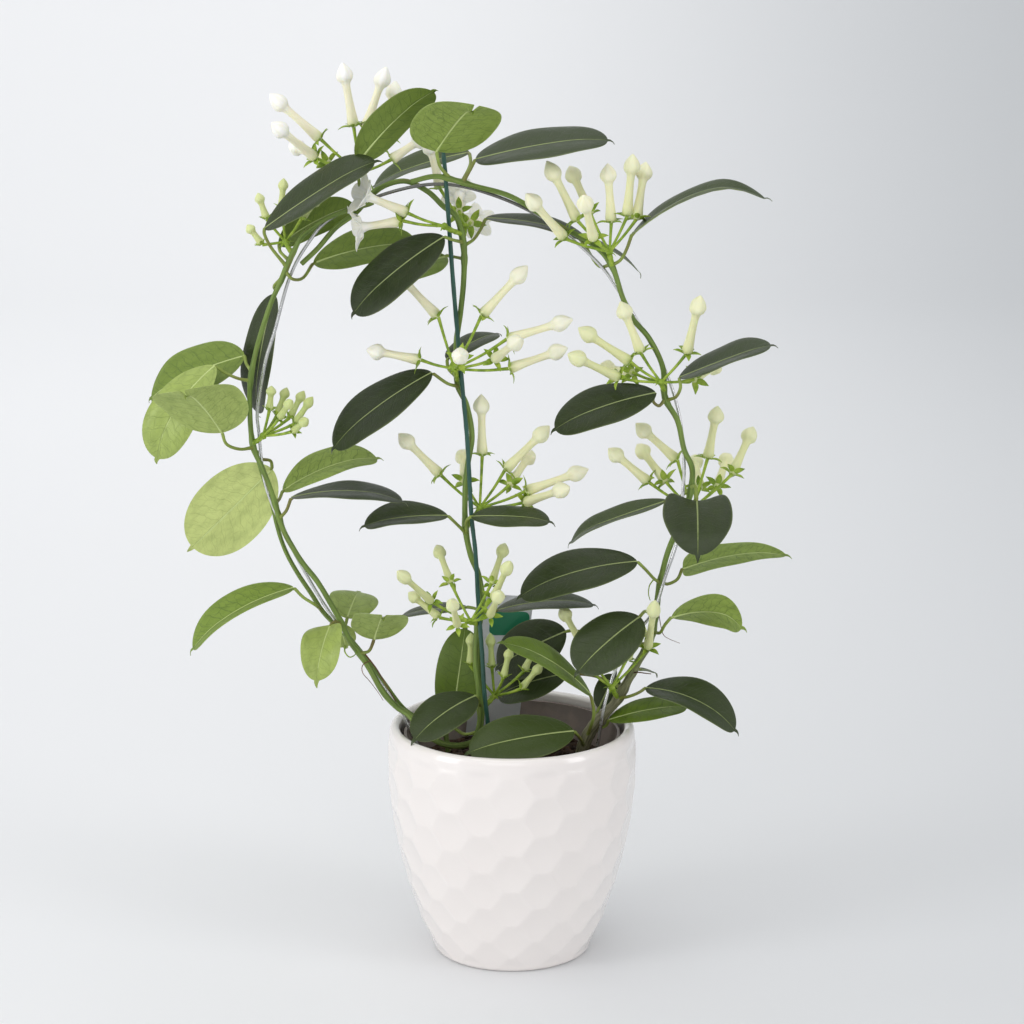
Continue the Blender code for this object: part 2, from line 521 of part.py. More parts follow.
def flower_profile(kind):
    """(distance from the calyx, radius) down a flower, for a full bud, a young bud or an open flower."""
    if kind == "young":
        return ((-1.0, PEDICEL_RADIUS), (0.5, 2.4), (2.5, 1.7), (8.0, 1.3), (12.5, 2.6), (18.0, 0.5))
    if kind == "open":
        return ((-1.2, PEDICEL_RADIUS), (0.6, 3.6), (4.0, 2.7), (24.0, 2.1), (28.0, 8.5), (29.5, 8.0))
    return ((-1.2, PEDICEL_RADIUS), (0.6, 3.6), (4.0, 2.8), (20.0, 2.0), (27.0, 4.4), (31.0, 4.1),
        (36.0, 0.5))


def flower_kind(umbel, index):
    if index in OPEN_FLOWERS.get(umbel, ()):
        return "open"
    return "young" if umbel in YOUNG_UMBELS else "full"


def depth_for(start, place, length, lean):
    """The depth at which a stretch that shows shorter than it is reaches its full length."""
    seen = (seen_at(*place, start.y) - start).length
    short = math.sqrt(max(length * length - seen * seen, 0.0))
    return start.y + lean * short


def flower_solid(hub, umbel, index):
    calyx_place, tip_place, lean = UMBELS[umbel][3][index]
    kind = flower_kind(umbel, index)
    profile = flower_profile(kind)
    calyx = seen_at(*calyx_place, depth_for(hub, calyx_place, PEDICEL_LENGTH, lean))
    tip = seen_at(*tip_place, depth_for(calyx, tip_place, profile[-1][0], lean))
    along = (tip - calyx).normalized()
    stretch = (tip - calyx).length / profile[-1][0]
    route = [hub, calyx - (calyx - hub) * 0.5 + along * 0.4]
    radii = [PEDICEL_RADIUS, PEDICEL_RADIUS]
    for distance, radius in profile:
        route.append(calyx + along * distance * stretch)
        radii.append(radius)
    return tube(route, radii, BUD_SIDES)


def joined(solids):
    points = []
    faces = []
    for more_points, more_faces in solids:
        faces += [tuple(i + len(points) for i in face) for face in more_faces]
        points += more_points
    return points, faces


def united(name, first, others, material):
    """One body from solids that run into each other."""
    item = add_solid(name, first, material)
    cutter = add_solid(name + "_parts", joined(others), material)
    union = item.modifiers.new("union", "BOOLEAN")
    union.operation = "UNION"
    union.solver = "EXACT"
    union.use_self = True
    union.object = cutter
    cutter.hide_render = True
    cutter.display_type = "WIRE"
    graph = bpy.context.evaluated_depsgraph_get()
    mesh = bpy.data.meshes.new_from_object(item.evaluated_get(graph))
    item.modifiers.clear()
    item.data = mesh
    bpy.data.objects.remove(cutter, do_unlink=True)
    return item


def hub_solid(hub):
    rings = [(-1.0, 0.35), (-0.5, 0.87), (0.5, 0.87), (1.0, 0.35)]
    route = [hub + Vector((0.0, 0.0, h * HUB_RADIUS)) for h, _ in rings]
    return tube(route, [HUB_RADIUS * r for _, r in rings], 6)


def make_umbel(name, material):
    stem, foot, hub_place, flowers = UMBELS[name]
    hub = seen_at(*hub_place)
    foot_point = beside_stem(stem, seen_at(*foot), hub, STALK_FOOT)
    stalk = tube([foot_point, (foot_point + hub) / 2, hub], [STALK_FOOT, 1.2, 1.2], BUD_SIDES)
    parts = [stalk, *(flower_solid(hub, name, i) for i in range(len(flowers)))]
    return united(name, hub_solid(hub), parts, material)


def make_vine(name, material):
    route = vine_route(name)
    stem = tube(route, vine_radii(name), VINE_SIDES)
    grown = [leaf_solid(row, True) for row in STEM_LEAVES.values() if row[0] == name]
    if not grown:
        return add_solid(name, stem, material)
    return united(name, stem, grown, material)


def make_label(material):
    front = [seen_at(x, z, LABEL_DEPTH) for x, z in LABEL_CORNERS]
    back = [point + Vector((0.0, LABEL_THICKNESS, 0.0)) for point in front]
    return add_solid("plant_label", lofted([back, front]), material)


def main():
    clear_scene()
    glaze = make_material("white_glaze", (0.86, 0.84, 0.81), 0.25)
    taupe = make_material("taupe_plastic", (0.20, 0.17, 0.15), 0.55)
    earth = make_material("soil", (0.035, 0.022, 0.016), 0.95)
    silver = make_material("galvanised_wire", (0.62, 0.62, 0.62), 0.35, 1.0)
    teal = make_material("green_coated_stake", (0.03, 0.13, 0.10), 0.4)
    clear_plastic = make_material("frosted_plastic", (0.62, 0.63, 0.64), 0.4)
    bark = make_material("green_stem", (0.16, 0.23, 0.05), 0.55)
    leaf_green = make_material("leaf", (0.035, 0.085, 0.02), 0.42)
    petal = make_material("bud", (0.78, 0.77, 0.52), 0.5)
    make_pot(glaze)
    make_nursery_pot(taupe)
    make_soil(earth)
    make_hoop(silver)
    make_stake(teal)
    make_label(clear_plastic)
    for name in VINES:
        make_vine(name, bark)
    for name, row in LEAVES.items():
        add_solid(name, leaf_solid(row), leaf_green)
    for name in UMBELS:
        make_umbel(name, petal)


main()
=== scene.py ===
"""Madagascar jasmine on a wire hoop in its white cover pot: the looks.

The layout is in millimetres. The frame stands on the centre of the pot's underside, +Z up, with the
front of the plant towards -Y. The hoop lies in the plane y = 0. A place on the plant is written
(x, z, y): x and z are where it shows on the hoop's plane to an eye in front of the plant, and y is
its depth. seen_at() turns it into a point in space.
"""
import math
import random

import bpy
from mathutils import Euler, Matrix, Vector, noise


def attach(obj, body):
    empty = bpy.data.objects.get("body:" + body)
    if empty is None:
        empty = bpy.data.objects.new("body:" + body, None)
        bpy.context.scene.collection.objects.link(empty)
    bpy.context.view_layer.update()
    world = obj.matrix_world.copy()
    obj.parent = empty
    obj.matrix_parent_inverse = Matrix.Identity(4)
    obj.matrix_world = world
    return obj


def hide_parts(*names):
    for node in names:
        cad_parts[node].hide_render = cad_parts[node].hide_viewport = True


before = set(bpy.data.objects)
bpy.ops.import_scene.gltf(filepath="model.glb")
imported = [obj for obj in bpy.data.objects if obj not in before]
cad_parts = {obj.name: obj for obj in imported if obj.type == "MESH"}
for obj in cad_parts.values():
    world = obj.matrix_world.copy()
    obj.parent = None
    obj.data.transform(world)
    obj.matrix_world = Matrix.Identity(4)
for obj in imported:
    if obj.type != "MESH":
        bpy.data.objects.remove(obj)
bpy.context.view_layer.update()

MM = 0.001
EYE = Vector((0.0, -1942.0, 748.0))
CAMERA_PITCH = 13.8
CAMERA_LENS = 119.2

# The cover pot, with its staggered rows of shallow hammered facets
POT_HEIGHT = 141.0
POT_SHOULDER = 124.0
POT_FOOT_RADIUS = 45.7
POT_WIDEST_RADIUS = 74.8
POT_RIM_RADIUS = 73.0
POT_LIP_RADIUS = 3.0
POT_WALL = 6.0
POT_FLOOR = 9.0
POT_WALL_START = 1.6
POT_WALL_END = POT_HEIGHT - 3.4
POT_WALL_ROWS = 120
POT_INSIDE_HEIGHTS = (POT_HEIGHT - 6.0, 130.0, 120.0, 105.0, 85.0, 60.0, 40.0, 24.0, 15.0)
POT_AROUND = 384
FACET_COLUMNS = 24
FACET_PITCH = 24.5
FACET_DEPTH = 1.3
FACET_START = -2.0
FACET_TOP = 135.0
FACET_SHARPNESS = 9.0
FACET_REACH = 145.0

# The nursery pot inside it, and its soil
NURSERY_TOP = 136.0
NURSERY_TOP_RADIUS = 64.5
NURSERY_FOOT_RADIUS = 40.0
NURSERY_WALL = 1.4
NURSERY_AROUND = 120
GAP = 0.3
SOIL_TOP = 116.0
SOIL_CLEARANCE = 0.4
SOIL_RINGS = 34
SOIL_AROUND = 150
CRUMBS = 420

# The stems and what they climb on
HOOP_RADIUS = 1.0
STAKE_RADIUS = 1.3
VINE_RADIUS = 1.8
FOOT_CLEARANCE = 1.2
STEM_STEPS = 8

# A stalk starts inside its stem, at this part of the stem's radius
STALK_SINK = 0.7

# The leaves. The starts and places are parts of the blade's length, and the ribs' ends are steps along it
PETIOLE_RADIUS = 0.95
LEAF_STEPS = 34
LEAF_ACROSS = 15
RIB_SHORT = 5
NOTCHED_RIB_SHORT = 14
RIB_GROOVE = 0.28
LOBE_PLACE = 0.09
NOTCH_START = 0.55
NOTCH_SPREAD = 0.45
DROOP_START = 0.7
DROOP_SPREAD = 0.09
TWIST_PLACE = 0.3

# A leaf's hooked tip: its length, and how far along it each step lies with its half width there
MUCRO_LENGTH = 4.8
MUCRO_SHAPE = ((0.35, 1.25), (0.7, 0.75), (1.0, 0.18))

# The flowers
PEDICEL_RADIUS = 0.85
PEDICEL_LENGTH = 22.0
FLOWER_SIDES = 20
FLOWER_PARTS = 5
HEAD_START = 0.68
LOBE_START = 25.6
LOBE_LENGTH = 12.5
LOBE_WIDTH = 12.0

HOOP_ROUTE = (
    (-52, 117, 0), (-60, 134, 0), (-66, 147, 0), (-73, 158, 0), (-87, 178, 0), (-99, 196, 0),
    (-113, 217, 0), (-129, 247, 0), (-140, 272, 0), (-146, 292, 0), (-148.5, 319, 0), (-149, 333, 0),
    (-144, 361, 0), (-138, 380, 0), (-129, 411, 0), (-118, 431, 0), (-104, 446, 0), (-71, 460.5, 0),
    (-38.5, 465.5, 0), (-5, 457, 0), (25, 441, 0), (49.5, 420, 0), (62, 403, 0), (78.5, 376, 0),
    (90.5, 353.5, 0), (98, 328.5, 0), (101, 303, 0), (100.5, 281, 0), (98, 255, 0), (91, 232, 0),
    (84, 210, 0), (72, 195, 0), (63, 178, 0), (55, 150, 0), (50, 117, 0),
)
STAKE_ROUTE = (
    (-14, 117, -2), (-14.5, 140, -2), (-16.5, 160, -2), (-18, 187, -2), (-20, 215, -2), (-21.5, 245, -2),
    (-24, 270, -2), (-26, 310, -2), (-28, 335, -2), (-31.5, 375, -2), (-34.5, 413, -2), (-38, 466, -3),
    (-39.5, 484, -3),
)

# Each stem: its route from the soil up, and its radius there and at the end
VINES = {
    "left_vine": (
        ((-22, 129, -16), (-32, 126.5, -22), (-43, 128.5, -24), (-53, 136, -18), (-62, 146, -8),
         (-69, 151, -4.5), (-77, 160, -4.5), (-84, 173, -4.5), (-90, 183, -4), (-96, 191, -4),
         (-101, 202, -3.8), (-106, 212, -3.6), (-115, 228, -3.6), (-124, 240, -3.6), (-130, 250, -3.6),
         (-135, 260, -3.6), (-138.5, 272, -3.8), (-142, 284, -4), (-147, 298, -4), (-152, 311, -3.6),
         (-153.5, 331, -3.5), (-152.5, 352, -3.5), (-148, 372, -3.5), (-140, 396, -3.5),
         (-134, 409, -3.5), (-127, 425, -3.5), (-119.5, 437, -3.5), (-104, 447, -4), (-80, 455, -4)),
        2.0, 1.4,
    ),
    "left_shoot": (
        ((-38, 134, 10), (-52, 141, 8), (-65, 150, 5), (-76, 165, 4.2), (-87, 181, 4), (-98, 195, 4),
         (-107, 204, 3.8), (-113, 211, 3.6), (-119, 221, 3.6), (-126, 232, 3.6), (-132, 243, 3.6),
         (-136, 253, 3.6), (-139, 264, 3.6), (-142, 278, 4), (-147, 294, 4), (-150, 308, 4)),
        1.6, 1.2,
    ),
    "centre_vine": (
        ((-25, 117, 6), (-19, 140, 4), (-19.5, 160, 3), (-21.5, 180, 2.5), (-20.5, 200, 3),
         (-17.5, 215, 3), (-20, 233, 3), (-24.5, 245, 2.8), (-27.5, 262, 2.6), (-27.5, 285, 2.6),
         (-26, 300, 2.8), (-23.5, 317, 2.5), (-26.5, 335, 2.5), (-31.5, 348, 2.5), (-32.5, 371, 2.5),
         (-30, 390, 2.5), (-28, 410, 2.5), (-28, 430, 2.5), (-32, 446, 3), (-40, 453, 4), (-49, 461.5, 5),
         (-62.5, 467.3, 5), (-78, 462, 5), (-90, 449, 5), (-102, 440, 5), (-112.5, 428, 5),
         (-122, 419, 5)),
        2.2, 1.5,
    ),
    "right_vine": (
        ((40, 118, 8), (46, 134, 6), (55, 146, 5.5), (62, 154, 5.5), (68, 165, 5.5), (74, 177, 5.5),
         (82, 192, 5.5), (85.5, 210, 5), (87.5, 226, 5), (92, 246, 5), (99, 264, 5), (104, 278, 4.2),
         (106, 290, 1.5), (105.5, 299, -2), (101, 309, -4.4), (97, 326, -4.4), (89.5, 340, -4.5),
         (88, 358, -4.5), (80, 375, -4.5), (70, 387, -4), (64, 400, -4), (57.5, 418.5, -4.2),
         (46, 431, -4), (24.5, 443, -4), (0, 458, -4), (-22, 464.5, -4.5), (-30, 467, -5.5),
         (-44, 470, -6.5), (-58, 467, -5)),
        3.4, 1.5,
    ),
}

# Each leaf: the stem it grows from, its stalk from the stem, its base and tip, its width, then in degrees
# how far its upper face leans from the sky towards the eye, how far it turns to the right, and how far
# the two halves fold up, and last its arch as a part of its length
LEAVES = {
    "top_veined_leaf": ("left_vine", ((-84, 455, -4), (-88, 466, -9)), (-88, 479, -10), (-46, 520, -22),
                        26, -44, 0, 10, 0.07),
    "top_heart_leaf": ("right_vine", ((-37, 468, -6), (-41.5, 476, -8)), (-43.5, 484.5, -10),
                       (-20, 513, -66), 47, -40, 0, 0, 0.05),
    "arc_dark_leaf": ("left_vine", ((-131, 418, -4), (-139, 428, -8), (-143, 436, -9)), (-143, 440, -10),
                      (-80.5, 480, -24), 36, 26, 0, 14, 0.02),
    "arc_veined_leaf": ("left_vine", ((-129, 421, -3), (-134, 426, 6)), (-135, 430.5, 14), (-92, 454, 26),
                        28, -48, 0, 8, 0.06),
    "arc_light_leaf": ("left_vine", ((-131, 414, -3.5), (-127, 410, -5.5), (-121, 411, 6)),
                       (-115, 420, 25), (-56, 432, 40), 34, -50, 0, 8, 0.06),
    "hoop_dark_leaf": ("centre_vine", ((-28, 432, 2), (-34, 433, -8)), (-39.5, 435, -10),
                       (-92.8, 391.5, -18), 37, 30, 0, 8, 0.05),
    "crown_grey_leaf": ("right_vine", ((-28, 468, -5), (-24, 477, 10)), (-24.5, 484, 27), (-80, 466, 34),
                        30, 16, 0, 16, 0.04),
    "crown_long_leaf": ("right_vine", ((-28, 467, -5), (-24, 474, -9)), (-21, 480, -10), (54.5, 493, -16),
                        42, 16, 0, 8, 0.03),
    "crown_low_leaf": ("centre_vine", ((-27.5, 430, 3), (-22, 433.5, 8), (-18, 439.5, 13)),
                       (-15, 446, 16), (45, 434, 18), 28, 8, 0, 10, 0.05),
    "right_arched_leaf": ("right_vine", ((58, 418.5, -4), (63, 421.5, -8), (66.5, 428, -9)),
                          (69.5, 437, -9), (142, 466, -16), 28, 3, 0, 20, 0.09),
    "hanging_dark_leaf": ("left_vine", ((-133, 410, -2), (-138, 406, 3), (-137, 403, 11)),
                          (-138, 401, 17), (-151, 331, 24), 30, 88, -52, 14, 0.04),
    "far_left_dark_leaf": ("left_vine", ((-153, 356, -2), (-155, 360, 7)), (-156, 365, 12.8),
                           (-212, 341, 26), 44, 34, 0, 8, 0.05),
    "far_left_bright_leaf": ("left_vine", ((-153, 350, -3.5), (-160.5, 351.5, -5), (-168, 355, -3)),
                             (-173.5, 359, -2), (-209.5, 304, -8), 32, 34, 0, 10, 0.15),
    "far_left_heart_leaf": ("left_vine", ((-152.5, 310, -3.5), (-160, 309, -12), (-167.5, 312, -18)),
                            (-170, 319, -22), (-193, 346, -68), 50, -46, 0, 8, 0.05),
    "big_pale_leaf": ("left_shoot", ((-147, 303, 4.5), (-142, 302, 13)), (-141, 297, 18),
                      (-188.5, 250, 20), 44, -104, 0, 6, 0.04),
    "inner_veined_leaf": ("left_vine", ((-140, 276, -4), (-137, 279, 4)), (-135, 284, 13), (-80, 305, 24),
                          34, 16, 0, 18, 0.08),
    "inner_dark_leaf": ("left_vine", ((-137, 268, -3.5), (-133, 272, -9)), (-130, 280, -12),
                        (-65, 279.5, -22), 32, 5, 0, 8, 0.07),
    "low_left_long_leaf": ("left_shoot", ((-108, 214, -3), (-118, 215, -7), (-124, 219, -9)),
                           (-129.5, 225, -10), (-191, 189, -20), 35, 9, 0, 22, 0.08),
    "hanging_yellow_leaf": ("left_vine", ((-100.5, 203, -3.5), (-105, 204, -8)), (-108, 202, -10),
                            (-117, 168, -34), 27, 66, -20, 26, 0.08),
    "low_heart_leaf": ("left_vine", ((-90.5, 184, -4), (-85, 186, -8)), (-82, 193, -9), (-76, 210, -46),
                       33, -34, 0, 6, 0.05),
    "mid_dark_leaf": ("centre_vine", ((-31, 347, 2), (-38, 348.5, -6)), (-47, 355, -9),
                      (-105.5, 311.5, -18), 38, 22, 0, 8, 0.05),
    "right_dark_leaf": ("right_vine", ((90, 339, -4.5), (86, 335, -8), (82.5, 338, -9)), (84, 343, -10),
                        (25, 322.5, -18), 36, 26, 0, 8, 0.05),
    "right_grey_leaf": ("right_vine", ((90, 338, -4.5), (96, 340.5, -9), (98.5, 346, -10)),
                        (97.5, 352, -10), (150, 372.5, -16), 34, 11, 0, 14, 0.01),
    "stake_left_leaf": ("centre_vine", ((-28, 258, -1), (-33, 264, -6)), (-38, 269, -8), (-87, 264, -15),
                        30, 14, 0, 18, 0.04),
    "stake_right_leaf": ("centre_vine", ((-27, 258, -1), (-27, 265, -6)), (-24, 268.5, -8),
                         (22, 266.5, -14), 30, 11, 0, 6, 0.03),
    "inner_long_leaf": ("right_vine", ((87.5, 228, 4), (84, 230.5, -4), (79, 236, -9)), (74, 241, -10),
                        (5, 221.5, -18), 38, 24, 0, 8, 0.07),
    "shaded_dark_leaf": ("right_vine", ((80, 189, 5), (60, 194, 22), (40, 198, 28)), (32, 198, 28),
                         (-9, 176, 34), 36, 44, 0, 6, 0.05),
    "front_dark_leaf": ("right_vine", ((85, 208, 4), (80, 210, 2), (78.5, 210, -8)), (76, 207, -16),
                        (39.5, 174, -42), 36, 36, 0, 8, 0.06),
    "front_bright_leaf": ("right_vine", ((46, 134, 6), (49, 146, -10)), (47, 159, -16), (-3, 192, -42),
                          24, 26, 0, 10, 0.07),
    "rim_front_leaf": ("right_vine", ((43, 128, 7), (41, 131, -14)), (37, 136, -26), (-25, 124, -46), 34,
                       34, 0, 8, 0.04),
    "rim_left_leaf": ("centre_vine", ((-20, 152, 3), (-20.5, 156, -8)), (-22, 158, -12), (-58, 132, -42),
                      29, 30, 0, 8, 0.08),
    "stake_green_leaf": ("centre_vine", ((-20, 134, 4), (-29, 134, 9)), (-36, 139, 11), (-28, 199, 18),
                         28, 74, 0, 8, 0.05),
    "right_drooping_leaf": ("right_vine", ((64, 157, 5), (70, 157.5, -5), (76, 160, -9)), (80, 163, -10),
                            (134, 138, -24), 34, 16, 0, 18, 0.12),
    "right_twisted_leaf": ("right_vine", ((84, 198, 5), (88, 197, -4), (91, 202, -8)), (95, 207, -9),
                           (137, 205, -18), 32, -44, 0, 8, 0.12),
    "right_light_leaf": ("right_vine", ((88, 229, 5), (92, 227, 8), (98, 230, 9)), (101, 237, 9),
                         (161, 247, 14), 34, -42, 0, 8, 0.06),
    "right_heart_leaf": ("right_vine", ((103.5, 288, 4), (108, 286, -8)), (109, 278, -14),
                         (110, 246, -60), 41, 40, 0, 8, 0.08),
    "right_narrow_leaf": ("right_vine", ((105, 284, 3), (97, 279, 7)), (91, 278, 12), (33, 257, 22), 22,
                          14, 0, 20, 0.01),
}

# Small leaves that stay one piece with the stem they grow from, written the same way
STEM_LEAVES = {
    "behind_light_leaf": ("centre_vine", ((-28, 422, 2.5), (-33, 423, 9)), (-38.5, 424, 12),
                          (-66, 412, 32), 24, -50, 0, 6, 0.05),
    "behind_hoop_leaf": ("right_vine", ((57.5, 418.5, -4), (50, 418, 8), (42, 430, 27)), (36, 437, 32),
                         (74, 416, 40), 22, 4, 0, 8, 0.05),
    "behind_buds_leaf": ("centre_vine", ((-32, 352, 2.5), (-37, 357, 12)), (-38, 363, 14), (-9, 379, 40),
                         20, 8, 0, 8, 0.05),
    "short_grey_leaf": ("centre_vine", ((-19, 210, 3), (-22, 212, 10)), (-27, 213, 12), (-65, 209, 16),
                        20, 4, 0, 6, 0.03),
    "low_grey_leaf": ("centre_vine", ((-17.5, 213, 3), (-13, 208, 9)), (-9, 211, 11), (48, 216, 18), 28,
                      7, 0, 8, 0.06),
    "round_bright_leaf": ("left_shoot", ((-101.5, 198.5, 3.9), (-99, 202, 9)), (-98, 206, 12),
                          (-91, 223, 40), 30, 46, 0, 8, 0.06),
    "pale_short_leaf": ("left_shoot", ((-101.5, 198.5, 3.9), (-102, 202, 9)), (-102, 202, 13),
                        (-99, 188, 20), 15, 60, 0, 6, 0.05),
    "low_dark_leaf": ("right_vine", ((66, 162, 5.5), (50, 170, 20)), (33, 172, 26), (-9, 159, 32), 28, 34,
                      0, 6, 0.05),
    "stem_dark_leaf": ("right_vine", ((52, 143, 6), (51, 147, 11)), (52, 150, 13), (61, 171, 22), 15, 66,
                       0, 6, 0.05),
    "rim_right_leaf": ("right_vine", ((50, 139, 6), (56, 139, 5)), (58, 143, 3), (104, 152, 0), 20, 26, 0,
                       10, 0.05),
    "stub_grey_leaf": ("right_vine", ((72, 173, 5.5), (74, 174, 11)), (76, 174.5, 13), (85, 173, 20), 9,
                       4, 0, 6, 0.03),
}

# Each flower head: the stem it grows from, where its stalk leaves the stem, its hub, and its flowers.
# A flower is where its calyx shows, where its tip shows, and which way it leans: -1 towards the eye, 1 away
UMBELS = {
    "crown_left_umbel": ("centre_vine", (-80, 461, 5), (-87, 472, 10), (
        ((-110.5, 492), (-139, 517.5), 0), ((-113.5, 481), (-138, 501), -1), ((-106, 478), (-128, 489), 1),
        ((-91, 499.5), (-97, 535.5), 0), ((-84, 498), (-71.7, 533), 0), ((-72, 492), (-66.5, 525), 1),
        ((-69, 480), (-50, 493), 0))),
    "young_arc_umbel": ("left_vine", (-127, 425, -3), (-131, 432, 8), (
        ((-142, 446), (-146.5, 460.5), 0), ((-133, 452), (-131.5, 469), 0), ((-145, 431), (-153, 442), 0),
        ((-121, 446), (-111, 458), 0))),
    "open_flower_umbel": ("centre_vine", (-29.5, 437, 3), (-39, 441, -9), (
        ((-61, 449), (-87, 460), -1), ((-64, 444), (-90, 440), 0))),
    "back_flower_umbel": ("centre_vine", (-28, 434, 2.5), (-27, 441, 9), (
        ((-30.5, 450), (-30.5, 460), 1), ((-24, 443), (-20, 444), 1), ((-41.5, 463.5), (-48, 492), 0))),
    "right_shoulder_umbel": ("right_vine", (57.5, 418.5, -4), (56.5, 426, -9), (
        ((30, 434.5), (8, 460), -1), ((37.5, 445), (20, 479), 0), ((45, 449), (33, 476), 1),
        ((47, 434), (41, 459), -1), ((57.3, 444), (55, 477.5), 0), ((66.5, 447.5), (69.5, 483), 0),
        ((72, 446), (77, 478.5), 1))),
    "young_left_umbel": ("left_vine", (-152.5, 313, -3.5), (-146, 317, -9), (
        ((-142, 333), (-140.5, 347), 0), ((-137.5, 330), (-131.5, 346), 1), ((-136, 328), (-129, 338.5), -1),
        ((-130, 328.5), (-121.5, 344), 1), ((-127, 325), (-116.5, 340.5), 0),
        ((-128, 320), (-120, 327), -1))),
    "upper_centre_umbel": ("centre_vine", (-31.5, 351, 2.5), (-33.5, 357, -8), (
        ((-43.5, 388.5), (-68, 415), 0), ((-17, 389.5), (9, 418), 0), ((-54, 362.5), (-85, 368.5), 0),
        ((-31, 363), (-30, 365), -1), ((-10, 363), (5, 375), -1), ((-2, 375), (35.5, 386.5), 0),
        ((-1, 357.5), (32.5, 369.5), 0))),
    "middle_centre_umbel": ("centre_vine", (-27.5, 262, 2.6), (-19, 273.5, 7), (
        ((-42.5, 294), (-66.5, 318.5), 0), ((-17.5, 306), (-18, 342), 0), ((-28, 290), (-29, 308), 1),
        ((-3.5, 297), (22, 323), 0), ((-1, 288), (12, 308), 1), ((9, 284), (45, 297), 0),
        ((8, 277), (34, 286), -1))),
    "right_upper_umbel": ("right_vine", (89, 345, -4.5), (87, 349, -10), (
        ((68.5, 361.5), (38.5, 381.5), 0), ((62, 352), (32.5, 366), -1), ((70, 355), (52, 358), 1),
        ((75, 367), (63, 397), 0), ((102, 367), (109.5, 400.5), -1), ((106.5, 351), (121, 360), 1))),
    "right_lower_umbel": ("right_vine", (101, 270, 4), (106, 273, 12), (
        ((96.5, 303), (72.5, 324.5), 0), ((90, 290), (73.5, 312), 1), ((80, 289.5), (56.5, 309.5), 0),
        ((115, 304), (120.5, 335), 0), ((130, 295), (141.5, 322.5), 1), ((121, 287), (127, 306), 1),
        ((110.5, 286), (107, 305), 1))),
    "lower_centre_umbel": ("centre_vine", (-20, 203, 3), (-24.5, 204, -9), (
        ((-48, 216.5), (-68, 235), -1), ((-44, 207), (-61.5, 222), 0), ((-36.5, 228.5), (-44.5, 251), 1),
        ((-32.5, 202), (-36, 217), -1), ((-12, 228), (-4, 252), 1), ((-11, 219), (-1, 241), -1),
        ((-13, 208), (-7, 222), -1))),
    "base_centre_umbel": ("centre_vine", (-19.5, 150, 3.5), (-10.5, 158, 9), (
        ((-12, 176), (-13, 197), 0), ((-5, 170), (-1, 188), -1), ((7.5, 174), (15, 191), 0),
        ((6, 163), (18, 178), -1), ((-25, 178), (-24.5, 197), 0))),
    "base_right_umbel": ("right_vine", (64, 157, 5.5), (59.5, 163, -9), (
        ((68.5, 181), (78.5, 202), 0), ((81, 188), (85, 217), -1), ((45, 176), (49, 181), 0),
        ((42, 189), (29, 213), 1))),
}
YOUNG_UMBELS = ("young_arc_umbel", "young_left_umbel", "base_centre_umbel")
OPEN_FLOWERS = {"open_flower_umbel": (0, 1), "back_flower_umbel": (0, 1)}

# The label: its corners where they show, from the soil up
LABEL_CORNERS = ((-28, 132.6), (3, 132.6), (13, 219), (-17, 221))
LABEL_DEPTH = 50.0
LABEL_THICKNESS = 0.8

# How young and light each leaf is, from 0 for a dark old leaf to 1 for a pale new one
LEAF_TONES = {
    "top_veined_leaf": 0.46, "top_heart_leaf": 0.66, "arc_dark_leaf": 0.06, "arc_veined_leaf": 0.46,
    "arc_light_leaf": 0.5, "hoop_dark_leaf": 0.0, "crown_grey_leaf": 0.3, "crown_long_leaf": 0.1,
    "crown_low_leaf": 0.06, "right_arched_leaf": 0.16, "hanging_dark_leaf": 0.05,
    "far_left_dark_leaf": 0.48, "far_left_bright_leaf": 0.82, "far_left_heart_leaf": 0.78,
    "big_pale_leaf": 1.0, "inner_veined_leaf": 0.66, "inner_dark_leaf": 0.0, "low_left_long_leaf": 0.56,
    "hanging_yellow_leaf": 0.85, "low_heart_leaf": 0.72, "mid_dark_leaf": 0.0, "right_dark_leaf": 0.03,
    "right_grey_leaf": 0.1, "stake_left_leaf": 0.1, "stake_right_leaf": 0.15, "inner_long_leaf": 0.05,
    "shaded_dark_leaf": 0.02, "front_dark_leaf": 0.1, "front_bright_leaf": 0.52, "rim_front_leaf": 0.26,
    "rim_left_leaf": 0.1, "stake_green_leaf": 0.5, "right_drooping_leaf": 0.1,
    "right_twisted_leaf": 0.66, "right_light_leaf": 0.64, "right_heart_leaf": 0.05,
    "right_narrow_leaf": 0.3, "behind_light_leaf": 0.5, "round_bright_leaf": 0.76,
    "pale_short_leaf": 0.8, "rim_right_leaf": 0.55,
}
OLD_TONE = 0.12

# Leaves that are matt on both faces
MATT_LEAVES = ("low_left_long_leaf", "far_left_dark_leaf", "inner_veined_leaf", "right_twisted_leaf")

# How yellow-green each flower head is, from 0 for ripe white buds to 1 for young green ones
FLOWER_TONES = {
    "crown_left_umbel": 0.02, "young_arc_umbel": 0.75, "open_flower_umbel": 0.0, "back_flower_umbel": 0.0,
    "right_shoulder_umbel": 0.32, "young_left_umbel": 0.85, "upper_centre_umbel": 0.16,
    "middle_centre_umbel": 0.3, "right_upper_umbel": 0.45, "right_lower_umbel": 0.45,
    "lower_centre_umbel": 0.6, "base_centre_umbel": 0.85, "base_right_umbel": 0.6,
}

# Flower heads whose open flowers have smaller lobes than the rest, and those with slimmer buds
SMALL_LOBES = {"back_flower_umbel": 0.72}
SLIM_UMBELS = {"lower_centre_umbel": 0.8, "base_right_umbel": 0.86}

